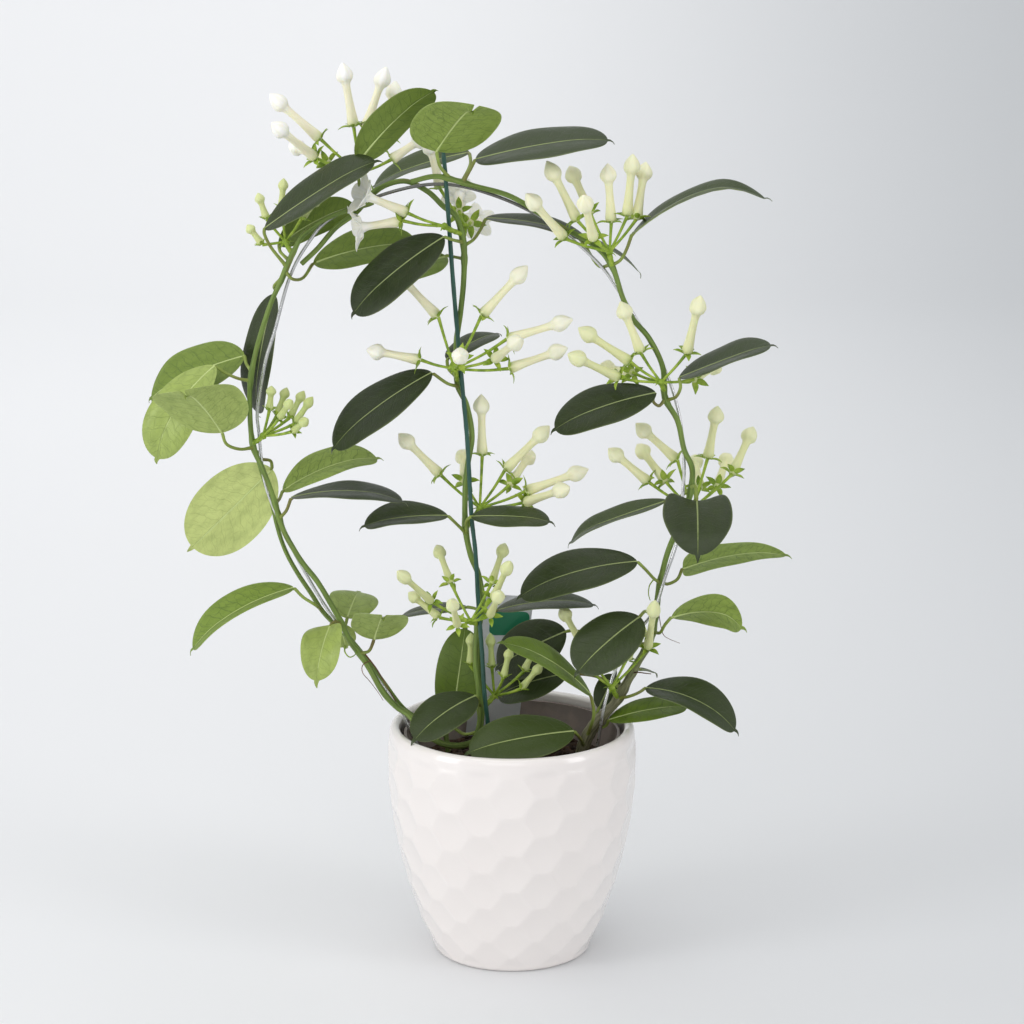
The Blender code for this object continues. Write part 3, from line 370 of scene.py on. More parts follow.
# The shape of a leaf, and what is different about some of them. Twist is in degrees. Droop, wave, lobe and
# notch are parts of the length or the width. Fullness and middle say how blunt and where widest the blade is
USUAL_LEAF = {
    "twist": 0.0, "droop": 0.03, "roll": 0.10, "wave": 0.035, "fullness": 2.2, "middle": 1.14, "lobe": 0.0,
    "notch": 0.0,
}
LEAF_TRAITS = {
    "top_veined_leaf": {"fullness": 2.7, "middle": 1.0, "roll": 0.05},
    "top_heart_leaf": {"fullness": 2.4, "middle": 0.9, "notch": 0.14, "roll": 0.0, "wave": 0.0},
    "arc_dark_leaf": {"fullness": 2.0},
    "crown_long_leaf": {"fullness": 2.8, "middle": 1.0},
    "far_left_heart_leaf": {"fullness": 3.2, "notch": 0.14, "roll": 0.03},
    "far_left_bright_leaf": {"twist": 35.0, "roll": 0.2},
    "inner_dark_leaf": {"fullness": 2.0},
    "right_arched_leaf": {"droop": 0.12},
    "right_narrow_leaf": {"droop": 0.08},
    "right_heart_leaf": {"lobe": 0.16, "middle": 0.72, "fullness": 2.1},
    "right_light_leaf": {"middle": 0.5, "fullness": 1.6, "droop": 0.04},
    "right_twisted_leaf": {"twist": 30.0, "fullness": 2.6, "droop": 0.12},
    "low_heart_leaf": {"notch": 0.14, "fullness": 2.8, "droop": 0.04},
    "low_left_long_leaf": {"fullness": 2.3, "wave": 0.0},
    "hanging_dark_leaf": {"fullness": 2.6},
    "hanging_yellow_leaf": {"twist": 55.0, "middle": 0.75},
}

# Each kind of flower: its length, its sepals' length, how far from its axis they start, and their spread
FLOWER_KINDS = {
    "full": (36.0, 7.2, 2.1, (0.9, 1.3)),
    "young": (18.0, 4.4, 1.4, (0.5, 0.9)),
    "open": (29.5, 7.2, 2.1, (0.9, 1.3)),
}

# Its outline, as the distance from the calyx and the radius there
FLOWER_PROFILES = {
    "full": ((-1.2, 0.9), (-0.7, 1.9), (0.2, 2.9), (1.6, 3.25), (4.0, 3.1), (8.0, 2.7), (13.0, 2.35),
             (18.0, 2.2), (22.0, 2.3), (24.2, 2.75), (25.4, 3.7), (26.6, 4.5), (28.2, 4.85), (30.0, 4.6),
             (31.8, 3.8), (33.4, 2.65), (34.8, 1.45), (35.7, 0.6), (36.0, 0.08)),
    "young": ((-1.0, 0.85), (-0.5, 1.5), (0.3, 2.1), (1.5, 2.3), (4.0, 2.0), (7.5, 1.7), (10.0, 1.75),
              (11.3, 2.2), (12.4, 2.8), (13.6, 3.0), (15.0, 2.6), (16.4, 1.7), (17.5, 0.7), (18.0, 0.08)),
    "open": ((-1.2, 0.9), (-0.7, 1.9), (0.2, 2.9), (1.6, 3.2), (5.0, 3.0), (10.0, 2.5), (17.0, 2.2),
             (22.0, 2.4), (25.0, 3.3), (26.5, 4.1)),
}

# The hub that a head's flower stalks leave from: the height of each ring above its middle, and its radius
HUB_RINGS = ((-2.2, 0.3), (-1.8, 1.2), (-1.0, 1.9), (0.0, 2.2), (1.0, 1.9), (1.8, 1.2), (2.2, 0.3))
BRACTS = 6

# The plain green patch on the label: its corners where they show
PATCH_CORNERS = ((-14.0, 195.5), (9.5, 195.5), (10.8, 210.0), (-12.5, 210.0))

# Dry threads and tendrils that the stems carry: their places, their radius and whether they are green
THREADS = {
    "left_dry_thread": (((-84, 180, -6.5), (-89, 177, -7), (-89, 172, -7), (-85, 167, -7), (-80, 160, -7),
                         (-77, 155, -7)), 0.3, False),
    "left_dark_strand": (((-88, 184.5, -2.2), (-81, 175, -2.4), (-76, 166, -2.4), (-71, 157, -2.4),
                          (-67, 150, -2.4)), 0.45, False),
    "left_tendril": (((-99.5, 189, -5), (-99.5, 185, -9), (-97, 182, -10), (-94, 183, -8), (-92, 186, -6)),
                     0.5, True),
    "right_tie": (((70, 171, 9), (74, 172.5, 1), (79, 172, 0), (83, 171.5, 3)), 0.5, False),
    "right_upper_tendril": (((84, 230, 5), (81.5, 226, 4), (81, 221, 4), (82, 217, 5)), 0.45, True),
    "right_lower_tendril": (((77, 200, 5), (72, 198, 3), (69, 194, 3), (70, 190, 3)), 0.45, True),
    "right_dry_thread": (((86.5, 214, 5), (88, 204, 2), (90, 196, 1), (94, 193, 1), (100, 190.5, 1)), 0.28,
                         False),
}

# Painted shade darkens the hoop's wire above this height, in metres
WIRE_SHADE_FROM = 0.435
WIRE_SHADE_TO = 0.453

# The studio, in metres. The sweep runs level, then up a curve, then straight up
SWEEP_HALF_WIDTH = 5.0
SWEEP_FRONT = -3.0
SWEEP_BEND = 2.2
SWEEP_RADIUS = 1.6
SWEEP_RISE = 3.4
SWEEP_STEPS = (12, 20, 8)
WORLD_COLOUR = (0.98, 0.98, 1.0)
WORLD_STRENGTH = 0.585

# Each area light: its place, what it points at, its width and height, and its power
STUDIO_LIGHTS = (
    ("key_left", (-1.7, -0.95, 0.66), (0.0, 0.0, 0.25), (0.7, 1.3), 12.0),
    ("key_right", (1.7, -0.95, 0.66), (0.0, 0.0, 0.25), (0.6, 1.3), 8.0),
    ("front_fill", (-0.4, -2.8, 1.5), (0.0, 0.0, 0.25), (2.0, 1.2), 8.5),
    ("overhead", (-0.3, -0.1, 2.2), (0.0, 0.0, 0.0), (2.2, 2.2), 15.0),
    ("backdrop", (-0.5, 1.3, 2.3), (-0.05, 3.5, 0.9), (2.4, 0.8), 28.0),
)


def seen_at(x, z, y):
    """The point at depth y that shows at (x, z) on the hoop's plane."""
    on_plane = Vector((x, 0.0, z))
    return EYE + (on_plane - EYE) * ((y - EYE.y) / -EYE.y)


def smooth_route(points, pieces):
    """A Catmull-Rom curve through the points, each stretch between two of them cut into pieces."""
    ends = [points[0] * 2 - points[1], *points, points[-1] * 2 - points[-2]]
    route = []
    for a, b, c, d in zip(ends, ends[1:], ends[2:], ends[3:]):
        for step in range(pieces):
            t = step / pieces
            route.append(
                0.5 * (2 * b + (c - a) * t + (2 * a - 5 * b + 4 * c - d) * t**2
                       + (3 * b - a - 3 * c + d) * t**3)
            )
    return [*route, points[-1]]


def tangents(route):
    ahead = [*route[1:], route[-1] * 2 - route[-2]]
    behind = [route[0] * 2 - route[1], *route[:-1]]
    return [(b - a).normalized() for a, b in zip(behind, ahead)]


def carried_normals(directions, first):
    """A direction across the route, carried along it without twist."""
    normals = []
    across = first
    for direction in directions:
        across = (across - direction * across.dot(direction)).normalized()
        normals.append(across)
    return normals


def above_soil(route, clearance):
    """The route with its first point lifted to just clear the soil."""
    first = route[0].copy()
    first.z = SOIL_TOP + clearance
    return [first, *route[1:]]


def face_normal(direction, tilt, turn):
    lean = math.radians(tilt)
    sideways = math.tan(math.radians(turn))
    facing = Vector((sideways, -math.sin(lean), math.cos(lean)))
    return (facing - direction * facing.dot(direction)).normalized()


def depth_for(start, place, length, lean):
    """The depth at which a stretch that shows shorter than it is reaches its full length."""
    seen = (seen_at(*place, start.y) - start).length
    short = math.sqrt(max(length * length - seen * seen, 0.0))
    return start.y + lean * short


def vine_route(name, pieces=2):
    places, _, _ = VINES[name]
    route = smooth_route([seen_at(*place) for place in places], pieces)
    return above_soil(route, GAP + FOOT_CLEARANCE)


def circle(radius, sides):
    """The (x, y) places of a level circle round Z, from the front to the right."""
    angles = [2 * math.pi * k / sides for k in range(sides)]
    return [(radius * math.sin(a), -radius * math.cos(a)) for a in angles]


def ring(radius, height, sides):
    return [Vector((x, y, height)) for x, y in circle(radius, sides)]


class Graph:
    """A material's nodes, added one at a time and fed to its one shader."""

    def __init__(self, name, fixed):
        self.material = bpy.data.materials.new(name)
        self.material.use_nodes = True
        self.tree = self.material.node_tree
        self.shader = self.tree.nodes["Principled BSDF"]
        for key, value in fixed.items():
            self.shader.inputs[key].default_value = value

    def feed(self, socket, value):
        if isinstance(value, bpy.types.NodeSocket):
            self.tree.links.new(value, socket)
        else:
            socket.default_value = value

    def add(self, kind, inputs, **settings):
        node = self.tree.nodes.new("ShaderNode" + kind)
        for key, value in settings.items():
            setattr(node, key, value)
        for key, value in inputs.items():
            self.feed(node.inputs[key], value)
        return node.outputs

    def math(self, operation, first, second=0.0):
        return self.add("Math", {0: first, 1: second}, operation=operation)[0]

    def plus(self, first, second):
        return self.math("ADD", first, second)

    def times(self, first, second):
        return self.math("MULTIPLY", first, second)

    def absolute(self, value):
        return self.math("ABSOLUTE", value)

    def mix(self, part, first, second):
        return self.add("Mix", {0: part, 6: first, 7: second}, data_type="RGBA")[2]

    def step(self, value, start, end, low=0.0, high=1.0):
        inputs = {"Value": value, "From Min": start, "From Max": end, "To Min": low, "To Max": high}
        return self.add("MapRange", inputs, interpolation_type="SMOOTHSTEP")[0]

    def noise(self, place, scale, detail=3.0):
        return self.add("TexNoise", {"Vector": place, "Scale": scale, "Detail": detail})[0]

    def place(self):
        return self.add("TexCoord", {})["Object"]

    def stretched(self, place, scale):
        return self.add("Mapping", {"Vector": place, "Scale": scale})[0]

    def split(self, vector):
        return self.add("SeparateXYZ", {0: vector})

    def attribute(self, name, output):
        return self.add("Attribute", {}, attribute_name=name)[output]

    def ramp(self, value, stops):
        node = self.tree.nodes.new("ShaderNodeValToRGB")
        elements = node.color_ramp.elements
        while len(elements) < len(stops):
            elements.new(0.5)
        for element, (position, colour) in zip(elements, stops):
            element.position = position
            element.color = (*colour, 1.0)
        self.feed(node.inputs[0], value)
        return node.outputs[0]

    def bump(self, height, distance):
        outputs = self.add("Bump", {"Height": height, "Distance": distance, "Strength": 1.0})
        self.feed(self.shader.inputs["Normal"], outputs[0])

    def colour(self, value):
        self.feed(self.shader.inputs["Base Color"], value)

    def roughness(self, value):
        self.feed(self.shader.inputs["Roughness"], value)


def rgb(red, green, blue):
    return (red, green, blue, 1.0)


def glaze_material():
    graph = Graph("white_glaze", {"Coat Weight": 0.7, "Coat Roughness": 0.06, "Specular IOR Level": 0.5})
    place = graph.place()
    cloud = graph.noise(place, 14.0, 3.0)
    graph.colour(graph.mix(cloud, rgb(0.84, 0.79, 0.765), rgb(0.895, 0.855, 0.83)))
    graph.roughness(graph.step(graph.noise(place, 40.0), 0.3, 0.7, 0.16, 0.26))
    graph.bump(graph.noise(place, 90.0, 2.0), 0.00012)
    return graph.material


def nursery_material():
    graph = Graph("taupe_plastic", {"Specular IOR Level": 0.4})
    place = graph.place()
    dust = graph.step(graph.noise(place, 60.0, 5.0), 0.45, 0.7)
    graph.colour(graph.mix(dust, rgb(0.20, 0.165, 0.145), rgb(0.27, 0.22, 0.185)))
    graph.roughness(graph.step(dust, 0.0, 1.0, 0.42, 0.7))
    graph.bump(graph.noise(place, 700.0, 2.0), 0.00008)
    return graph.material


def grained_material(name, fixed, grain, colours, rough, bump=None):
    """Noise of one grain, its scale and its detail, drives the colour and the roughness.

    The colours are two to mix or the stops of a ramp. The bump is its grain's scale and its height.
    """
    graph = Graph(name, fixed)
    place = graph.place()
    shade = graph.noise(place, *grain)
    if len(colours[0]) == 4:
        graph.colour(graph.mix(shade, *colours))
    else:
        graph.colour(graph.ramp(shade, colours))
    graph.roughness(graph.step(shade, 0.3, 0.7, *rough))
    if bump:
        scale, height = bump
        graph.bump(shade if scale == grain[0] else graph.noise(place, scale), height)
    return graph.material


def soil_material():
    graph = Graph("soil", {"Specular IOR Level": 0.25})
    place = graph.place()
    grain = graph.noise(place, 260.0, 6.0)
    clod = graph.noise(place, 60.0, 4.0)
    stops = ((0.3, (0.016, 0.010, 0.007)), (0.5, (0.05, 0.030, 0.020)), (0.72, (0.13, 0.075, 0.045)))
    graph.colour(graph.ramp(graph.plus(graph.times(grain, 0.6), graph.times(clod, 0.4)), stops))
    graph.roughness(graph.step(grain, 0.3, 0.7, 0.75, 0.98))
    graph.bump(graph.plus(grain, clod), 0.0012)
    return graph.material


def wire_material():
    """Bright galvanised wire, with painted shade darkening it at the top of the hoop."""
    graph = Graph("hoop_wire", {"Metallic": 1.0})
    place = graph.place()
    spots = graph.noise(place, 180.0, 4.0)
    bright = graph.mix(spots, rgb(0.5, 0.51, 0.52), rgb(0.82, 0.82, 0.82))
    height = graph.split(place)[2]
    # Painted shade: above this band the wire's colour turns near black
    painted_top_shade = graph.step(height, WIRE_SHADE_FROM, WIRE_SHADE_TO, 0.0, 0.85)
    graph.colour(graph.mix(painted_top_shade, bright, rgb(0.10, 0.10, 0.085)))
    graph.roughness(graph.step(spots, 0.35, 0.65, 0.2, 0.38))
    graph.bump(graph.noise(graph.stretched(place, (1.0, 1.0, 0.2)), 900.0), 0.00005)
    return graph.material


def stem_material():
    """Green bark with fine streaks along it, which turns grey-brown where the stem is woody."""
    graph = Graph("stem", {"Specular IOR Level": 0.35})
    pattern = graph.attribute("pattern", "Vector")
    wood = graph.attribute("tone", "Fac")
    streak = graph.noise(graph.stretched(pattern, (0.9, 0.06, 1.0)), 1.0, 4.0)
    blotch = graph.noise(graph.stretched(pattern, (0.1, 0.05, 1.0)), 1.0, 3.0)
    green = graph.ramp(streak, ((0.3, (0.095, 0.155, 0.03)), (0.7, (0.22, 0.32, 0.07))))
    blush = graph.step(blotch, 0.56, 0.72, 0.0, 0.45)
    green = graph.mix(blush, green, rgb(0.17, 0.13, 0.05))
    brown = graph.ramp(streak, ((0.3, (0.10, 0.09, 0.05)), (0.7, (0.30, 0.28, 0.18))))
    graph.colour(graph.mix(wood, green, brown))
    graph.roughness(graph.step(streak, 0.3, 0.7, 0.42, 0.62))
    graph.bump(streak, 0.00045)
    return graph.material


def leaf_material(name, tones, vein, vein_dark, midrib, sheen, gloss):
    """One face of a leaf: its midrib, its side veins and the net between them follow the blade."""
    graph = Graph(name, {"Specular IOR Level": 0.38, "Coat Weight": sheen, "Coat Roughness": 0.25})
    pattern = graph.attribute("pattern", "Vector")
    tone = graph.attribute("tone", "Fac")
    parts = graph.split(pattern)
    from_rib = graph.absolute(parts[2])

    # Side veins lean forward from the midrib and fade before the margin
    wobble = graph.noise(graph.stretched(pattern, (0.16, 0.16, 1.0)), 1.0, 2.0)
    forward = graph.math("SUBTRACT", parts[1], graph.times(graph.absolute(parts[0]), 0.6))
    forward = graph.plus(forward, graph.times(wobble, 5.0))
    side_wave = graph.math("FRACT", graph.times(forward, 0.135))
    side_line = graph.step(graph.absolute(graph.math("SUBTRACT", side_wave, 0.5)), 0.0, 0.045, 1.0, 0.0)
    side_line = graph.times(side_line, graph.step(from_rib, 0.6, 0.86, 1.0, 0.0))

    # A net of fine veins fills the cells between them
    cell = {0: graph.times(parts[0], 0.16), 1: graph.times(forward, 0.24), 2: tone}
    cells = {"Vector": graph.add("CombineXYZ", cell)[0], "Scale": 1.0, "Randomness": 0.75}
    edge = graph.add("TexVoronoi", cells, feature="DISTANCE_TO_EDGE")[0]
    net = graph.step(edge, 0.005, 0.05, 1.0, 0.0)
    veins = graph.math("MAXIMUM", graph.times(side_line, 0.85), graph.times(net, 0.5))
    rib = graph.step(from_rib, 0.008, 0.036, 1.0, 0.0)

    # The blade's colour, mottled, paler at its margin and along its veins
    blade = graph.ramp(tone, tones)
    mottle = graph.noise(graph.stretched(pattern, (0.22, 0.1, 0.0)), 1.0, 5.0)
    blade = graph.mix(graph.step(mottle, 0.35, 0.75, 0.0, 0.45), blade, graph.mix(0.5, blade, vein))
    margin = graph.step(from_rib, 0.93, 1.0, 0.0, 0.5)
    blade = graph.mix(margin, blade, graph.mix(0.35, blade, midrib))
    strength = graph.times(veins, graph.step(tone, 0.0, 0.6, *vein_dark))
    strength = graph.times(strength, graph.step(tone, 0.66, 0.92, 1.0, 0.22))
    blade = graph.mix(strength, blade, vein)
    rib_strength = graph.times(rib, graph.step(tone, 0.0, 0.5, 0.42, 0.8))
    graph.colour(graph.mix(rib_strength, blade, midrib))
    graph.roughness(graph.step(mottle, 0.3, 0.7, gloss, gloss + 0.12))

    height = graph.plus(graph.times(veins, -0.35), graph.times(rib, -0.6))
    fine = graph.noise(graph.stretched(pattern, (1.6, 1.6, 0.0)), 1.0, 3.0)
    graph.bump(graph.plus(height, graph.times(fine, 0.25)), 0.0004)
    return graph.material


def petal_material():
    """Waxy cream: whiter towards the head, yellower down the tube, greener when young."""
    graph = Graph("petal", {
        "Specular IOR Level": 0.4, "Subsurface Weight": 0.25, "Subsurface Scale": 0.0015,
        "Subsurface Radius": (1.0, 0.8, 0.45),
    })
    pattern = graph.attribute("pattern", "Vector")
    tone = graph.attribute("tone", "Fac")
    parts = graph.split(pattern)
    head = graph.ramp(tone, (
        (0.0, (0.97, 0.96, 0.90)), (0.3, (0.92, 0.91, 0.66)), (0.6, (0.74, 0.78, 0.42)),
        (1.0, (0.52, 0.62, 0.20)),
    ))
    tube = graph.ramp(tone, (
        (0.0, (0.92, 0.88, 0.66)), (0.3, (0.87, 0.86, 0.54)), (0.6, (0.68, 0.72, 0.34)),
        (1.0, (0.46, 0.57, 0.17)),
    ))
    streak = graph.noise(graph.stretched(pattern, (1.3, 3.0, 1.0)), 1.0, 3.0)
    body = graph.mix(graph.step(parts[1], 0.55, 0.8), tube, head)
    body = graph.mix(graph.step(parts[1], 0.16, 0.0, 0.0, 0.45), body, rgb(0.50, 0.60, 0.20))
    graph.colour(graph.mix(graph.step(streak, 0.4, 0.75, 0.0, 0.3), body, rgb(0.66, 0.68, 0.38)))
    graph.roughness(graph.step(streak, 0.3, 0.7, 0.38, 0.5))
    graph.bump(streak, 0.0002)
    return graph.material


def make_materials():
    """All the materials, under the names that the pieces ask for."""
    dark = (
        (0.0, (0.020, 0.031, 0.008)), (0.3, (0.052, 0.080, 0.016)), (0.6, (0.15, 0.24, 0.020)),
        (1.0, (0.50, 0.60, 0.17)),
    )
    light = (
        (0.0, (0.105, 0.125, 0.062)), (0.35, (0.125, 0.175, 0.030)), (0.6, (0.215, 0.315, 0.042)),
        (1.0, (0.55, 0.63, 0.22)),
    )
    sprout = ((0.3, (0.15, 0.25, 0.018)), (0.5, (0.27, 0.40, 0.035)), (0.75, (0.45, 0.56, 0.085)))
    petiole = ((0.3, (0.17, 0.14, 0.04)), (0.5, (0.21, 0.27, 0.05)), (0.7, (0.31, 0.41, 0.09)))
    frosted = {"Transmission Weight": 0.35, "IOR": 1.45, "Specular IOR Level": 0.5}
    return {
        "glaze": glaze_material(),
        "nursery": nursery_material(),
        "soil": soil_material(),
        "wire": wire_material(),
        "stake": grained_material(
            "green_stake", {"Specular IOR Level": 0.5}, (120.0, 4.0),
            (rgb(0.010, 0.055, 0.038), rgb(0.028, 0.115, 0.085)), (0.28, 0.45), (420.0, 0.0001)),
        "label": grained_material(
            "label_plastic", frosted, (30.0, 2.0),
            (rgb(0.60, 0.62, 0.65), rgb(0.74, 0.75, 0.77)), (0.32, 0.45)),
        "patch": grained_material(
            "label_patch", {"Specular IOR Level": 0.5}, (80.0, 2.0),
            (rgb(0.012, 0.17, 0.085), rgb(0.02, 0.22, 0.12)), (0.35, 0.45)),
        "stem": stem_material(),
        "upper": leaf_material(
            "leaf_upper", dark, rgb(0.05, 0.085, 0.015), (0.08, 0.7), rgb(0.36, 0.45, 0.14), 0.06, 0.34),
        "under": leaf_material(
            "leaf_under", light, rgb(0.05, 0.10, 0.015), (0.4, 0.8), rgb(0.56, 0.66, 0.27), 0.0, 0.5),
        "petal": petal_material(),
        "sprout": grained_material(
            "sprout", {"Specular IOR Level": 0.4}, (220.0, 4.0), sprout, (0.4, 0.55), (220.0, 0.0003)),
        "petiole": grained_material(
            "petiole", {"Specular IOR Level": 0.4}, (70.0, 4.0), petiole, (0.4, 0.55), (500.0, 0.0002)),
        "thread": grained_material(
            "dry_thread", {"Specular IOR Level": 0.2}, (200.0, 3.0),
            ((0.3, (0.06, 0.03, 0.018)), (0.7, (0.26, 0.13, 0.07))), (0.6, 0.8)),
    }


class Skin:
    """Points in millimetres with their place on the pattern and their tone, and faces with their material."""

    def __init__(self):
        self.points = []
        self.patterns = []
        self.tones = []
        self.faces = []
        self.slots = []

    def loft(self, loops, patterns=None, tone=0.0, slot_of=lambda i: 0):
        """Skins closed loops and caps both ends. slot_of gives the material after each point of a loop."""
        first = len(self.points)
        count = len(loops[0])
        if patterns is None:
            patterns = [[Vector((0.0, 0.0, 0.0))] * count] * len(loops)
        for loop, pattern in zip(loops, patterns):
            self.points += loop
            self.patterns += pattern
        if callable(tone):
            self.tones += [tone(point) for loop in loops for point in loop]
        else:
            self.tones += [tone] * (count * len(loops))
        for row in range(len(loops) - 1):
            for i in range(count):
                a = first + row * count + i
                b = first + row * count + (i + 1) % count
                self.faces.append((a, b, b + count, a + count))
                self.slots.append(slot_of(i))
        last = first + (len(loops) - 1) * count
        self.faces += [tuple(range(first, first + count))[::-1], tuple(range(last, last + count))]
        self.slots += [slot_of(0), slot_of(0)]

    def rod(self, route, radii, sides, slot=0, tone=0.0):
        """A round rod along a route. Its pattern runs round it and along it."""
        directions = tangents(route)
        first = Vector((0.0, 1.0, 0.1)) if abs(directions[0].y) < 0.9 else Vector((1.0, 0.0, 0.1))
        loops = []
        patterns = []
        gone = 0.0
        for i, (point, across) in enumerate(zip(route, carried_normals(directions, first))):
            gone += (point - route[i - 1]).length if i else 0.0
            other = directions[i].cross(across)
            angles = [2 * math.pi * k / sides for k in range(sides)]
            loops.append([point + (across * math.cos(a) + other * math.sin(a)) * radii[i] for a in angles])
            patterns.append([Vector((math.cos(a) * radii[i], gone, math.sin(a) * radii[i])) for a in angles])
        self.loft(loops, patterns, tone, lambda i: slot)

    def made(self, name, materials, stands_for=()):
        """The piece as an object. stands_for names the CAD nodes that it takes the place of."""
        mesh = bpy.data.meshes.new(name)
        mesh.from_pydata([point * MM for point in self.points], [], self.faces)
        for material in materials:
            mesh.materials.append(material)
        mesh.polygons.foreach_set("material_index", self.slots)
        pattern = mesh.attributes.new("pattern", "FLOAT_VECTOR", "POINT")
        pattern.data.foreach_set("vector", [value for place in self.patterns for value in place])
        tone = mesh.attributes.new("tone", "FLOAT", "POINT")
        tone.data.foreach_set("value", self.tones)
        mesh.shade_smooth()
        mesh.set_sharp_from_angle(angle=math.radians(60))
        item = bpy.data.objects.new(name, mesh)
        bpy.context.scene.collection.objects.link(item)
        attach(item, "root")
        if stands_for:
            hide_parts(*stands_for)
        return item


def outline(u, fullness, middle):
    """A blade's half width as a part of its most: blunt at both ends, widest where u**middle is a half."""
    s = u**middle
    return max(0.0, 1.0 - abs(2 * s - 1) ** fullness) ** 0.5


def grow_leaf(name, row, materials):
    """A stalk, and a blade with an upper face, an underside, a rolled margin and a hooked tip."""
    stem, stalk, base_place, tip_place, width, tilt, turn, fold, arch = row
    traits = {**USUAL_LEAF, **LEAF_TRAITS.get(name, {})}
    tone = LEAF_TONES.get(name, OLD_TONE)
    phase = random.Random(name).uniform(0.0, 6.28)
    base = seen_at(*base_place)
    along = seen_at(*tip_place) - base
    length = along.length
    direction = along / length
    up = face_normal(direction, tilt, turn)

    # The midline from the stalk to the end of the hooked tip
    steps = [0.5 - 0.5 * math.cos(math.pi * i / (LEAF_STEPS - 1)) for i in range(LEAF_STEPS)]
    route = []
    for u in steps:
        lift = arch * 4 * u * (1 - u) - traits["droop"] * max(0.0, u - DROOP_START) ** 2 / DROOP_SPREAD
        route.append(base + along * u + up * (lift * length))
    hook = (direction - up * 0.9).normalized()
    hook_start = route[-1]
    for part, _ in MUCRO_SHAPE:
        route.append(hook_start + (direction * (1.0 - part) + hook * part) * MUCRO_LENGTH * part)
        steps.append(1.0)
    directions = tangents(route)
    normals = carried_normals(directions, up)

    loops = []
    patterns = []
    for i, (u, point, toward, normal) in enumerate(zip(steps, route, directions, normals)):
        side = toward.cross(normal)
        turned_by = math.radians(traits["twist"]) * (u - TWIST_PLACE)
        side, normal = (
            side * math.cos(turned_by) + normal * math.sin(turned_by),
            normal * math.cos(turned_by) - side * math.sin(turned_by),
        )
        if i < LEAF_STEPS:
            open_part = outline(u, traits["fullness"], traits["middle"])
            half = math.hypot(open_part * width / 2, 0.85 + 0.75 * u)
        else:
            open_part = 0.0
            half = MUCRO_SHAPE[i - LEAF_STEPS][1]
        lean = math.radians(fold * open_part)
        top = []
        under = []
        pattern = []
        for k in range(LEAF_ACROSS):
            v = 2 * k / (LEAF_ACROSS - 1) - 1
            v = math.copysign(abs(v) ** 0.85, v)
            x = v * half
            ripple = math.sin(u * 9.0 + phase + (1.5 if v > 0 else 0.0))
            rise = (math.hypot(x, 1.2) - 1.2) * math.sin(lean)
            rise -= traits["roll"] * half * open_part * abs(v) ** 4
            rise += traits["wave"] * half * open_part * v * v * ripple
            rise -= RIB_GROOVE * math.exp(-((x / 0.9) ** 2)) * open_part
            thick = (0.24 + 0.42 * (1 - v * v)) * (0.5 + 0.5 * open_part)
            back = traits["lobe"] * abs(v) ** 1.5 * (u / LOBE_PLACE) * math.exp(1.0 - u / LOBE_PLACE)
            centre = (1.0 - abs(v)) ** 1.5 if i < LEAF_STEPS else 1.0
            back += traits["notch"] * centre * max(0.0, (u - NOTCH_START) / NOTCH_SPREAD) ** 2
            place = point + side * (x * math.cos(lean)) + normal * rise - direction * (back * length)
            top.append(place)
            under.append(place - normal * thick)
            pattern.append(Vector((x, u * length, v)))
        loops.append(top + under[::-1])
        patterns.append(pattern + pattern[::-1])
    skin = Skin()
    skin.loft(loops, patterns, tone, lambda i: 0 if i < LEAF_ACROSS - 1 else 1)

    # The stalk is thickest where it leaves the stem and thickens again at the blade
    stalk_points = [seen_at(*place) for place in stalk]
    on_stem, outward, radius = stem_beside(stem, stalk_points[0], stalk_points[1])
    stalk_points[0] = on_stem + outward * radius * STALK_SINK
    stalk_route = smooth_route([*stalk_points, base], 6)[:-1]
    radii = []
    for i in range(len(stalk_route)):
        swelling = 0.45 * math.exp(-i / 1.6) + 0.18 * math.exp(-(len(stalk_route) - i) / 2.0)
        radii.append(PETIOLE_RADIUS * (1.0 + swelling))
    skin.rod([*stalk_route, base - up * 0.2 + direction * 1.5], [*radii, 0.7], 8, slot=2)

    # The raised midrib under the blade, plain in colour
    rib = [base - up * 0.2]
    for i in range(2, LEAF_STEPS - (NOTCHED_RIB_SHORT if traits["notch"] else RIB_SHORT), 3):
        rib.append(route[i] - normals[i] * (0.42 + 0.1 * (1 - steps[i])))
    first = len(skin.points)
    skin.rod(rib, [0.85 - 0.65 * i / len(rib) for i in range(len(rib))], 8, slot=1, tone=tone)
    skin.patterns[first:] = [Vector((0.0, 0.0, 0.0))] * (len(skin.points) - first)

    face = "under" if name in MATT_LEAVES else "upper"
    leaf_materials = [materials[face], materials["under"], materials["petiole"]]
    if name in STEM_LEAVES:
        skin.made(name, leaf_materials)
    else:
        skin.made(name, leaf_materials, (name,))


def grow_rod(name, route, radii, sides, material, tone=0.0, stands_for=()):
    skin = Skin()
    skin.rod(route, radii, sides, tone=tone)
    skin.made(name, [material], stands_for)


def stem_beside(name, point, towards):
    """Where a stalk leaves a stem: the place on the stem's axis, the way out and the stem's radius there."""
    route = vine_route(name)
    found = []
    for i, (start, end) in enumerate(zip(route, route[1:])):
        along = end - start
        part = min(max((point - start).dot(along) / along.length_squared, 0.0), 1.0)
        on_axis = start + along * part
        found.append(((on_axis - point).length, i, on_axis, along.normalized()))
    _, i, on_axis, direction = min(found, key=lambda row: row[0])
    outward = towards - on_axis
    outward = (outward - direction * outward.dot(direction)).normalized()
    return on_axis, outward, vine_radius(name, i / (len(route) - 1))


def vine_radius(name, part):
    """A stem thins quickly above the soil and slowly after that."""
    _, foot, end = VINES[name]
    slim = min(foot, VINE_RADIUS)
    return slim + (end - slim) * part + (foot - slim) * max(0.0, 1.0 - part / 0.3)


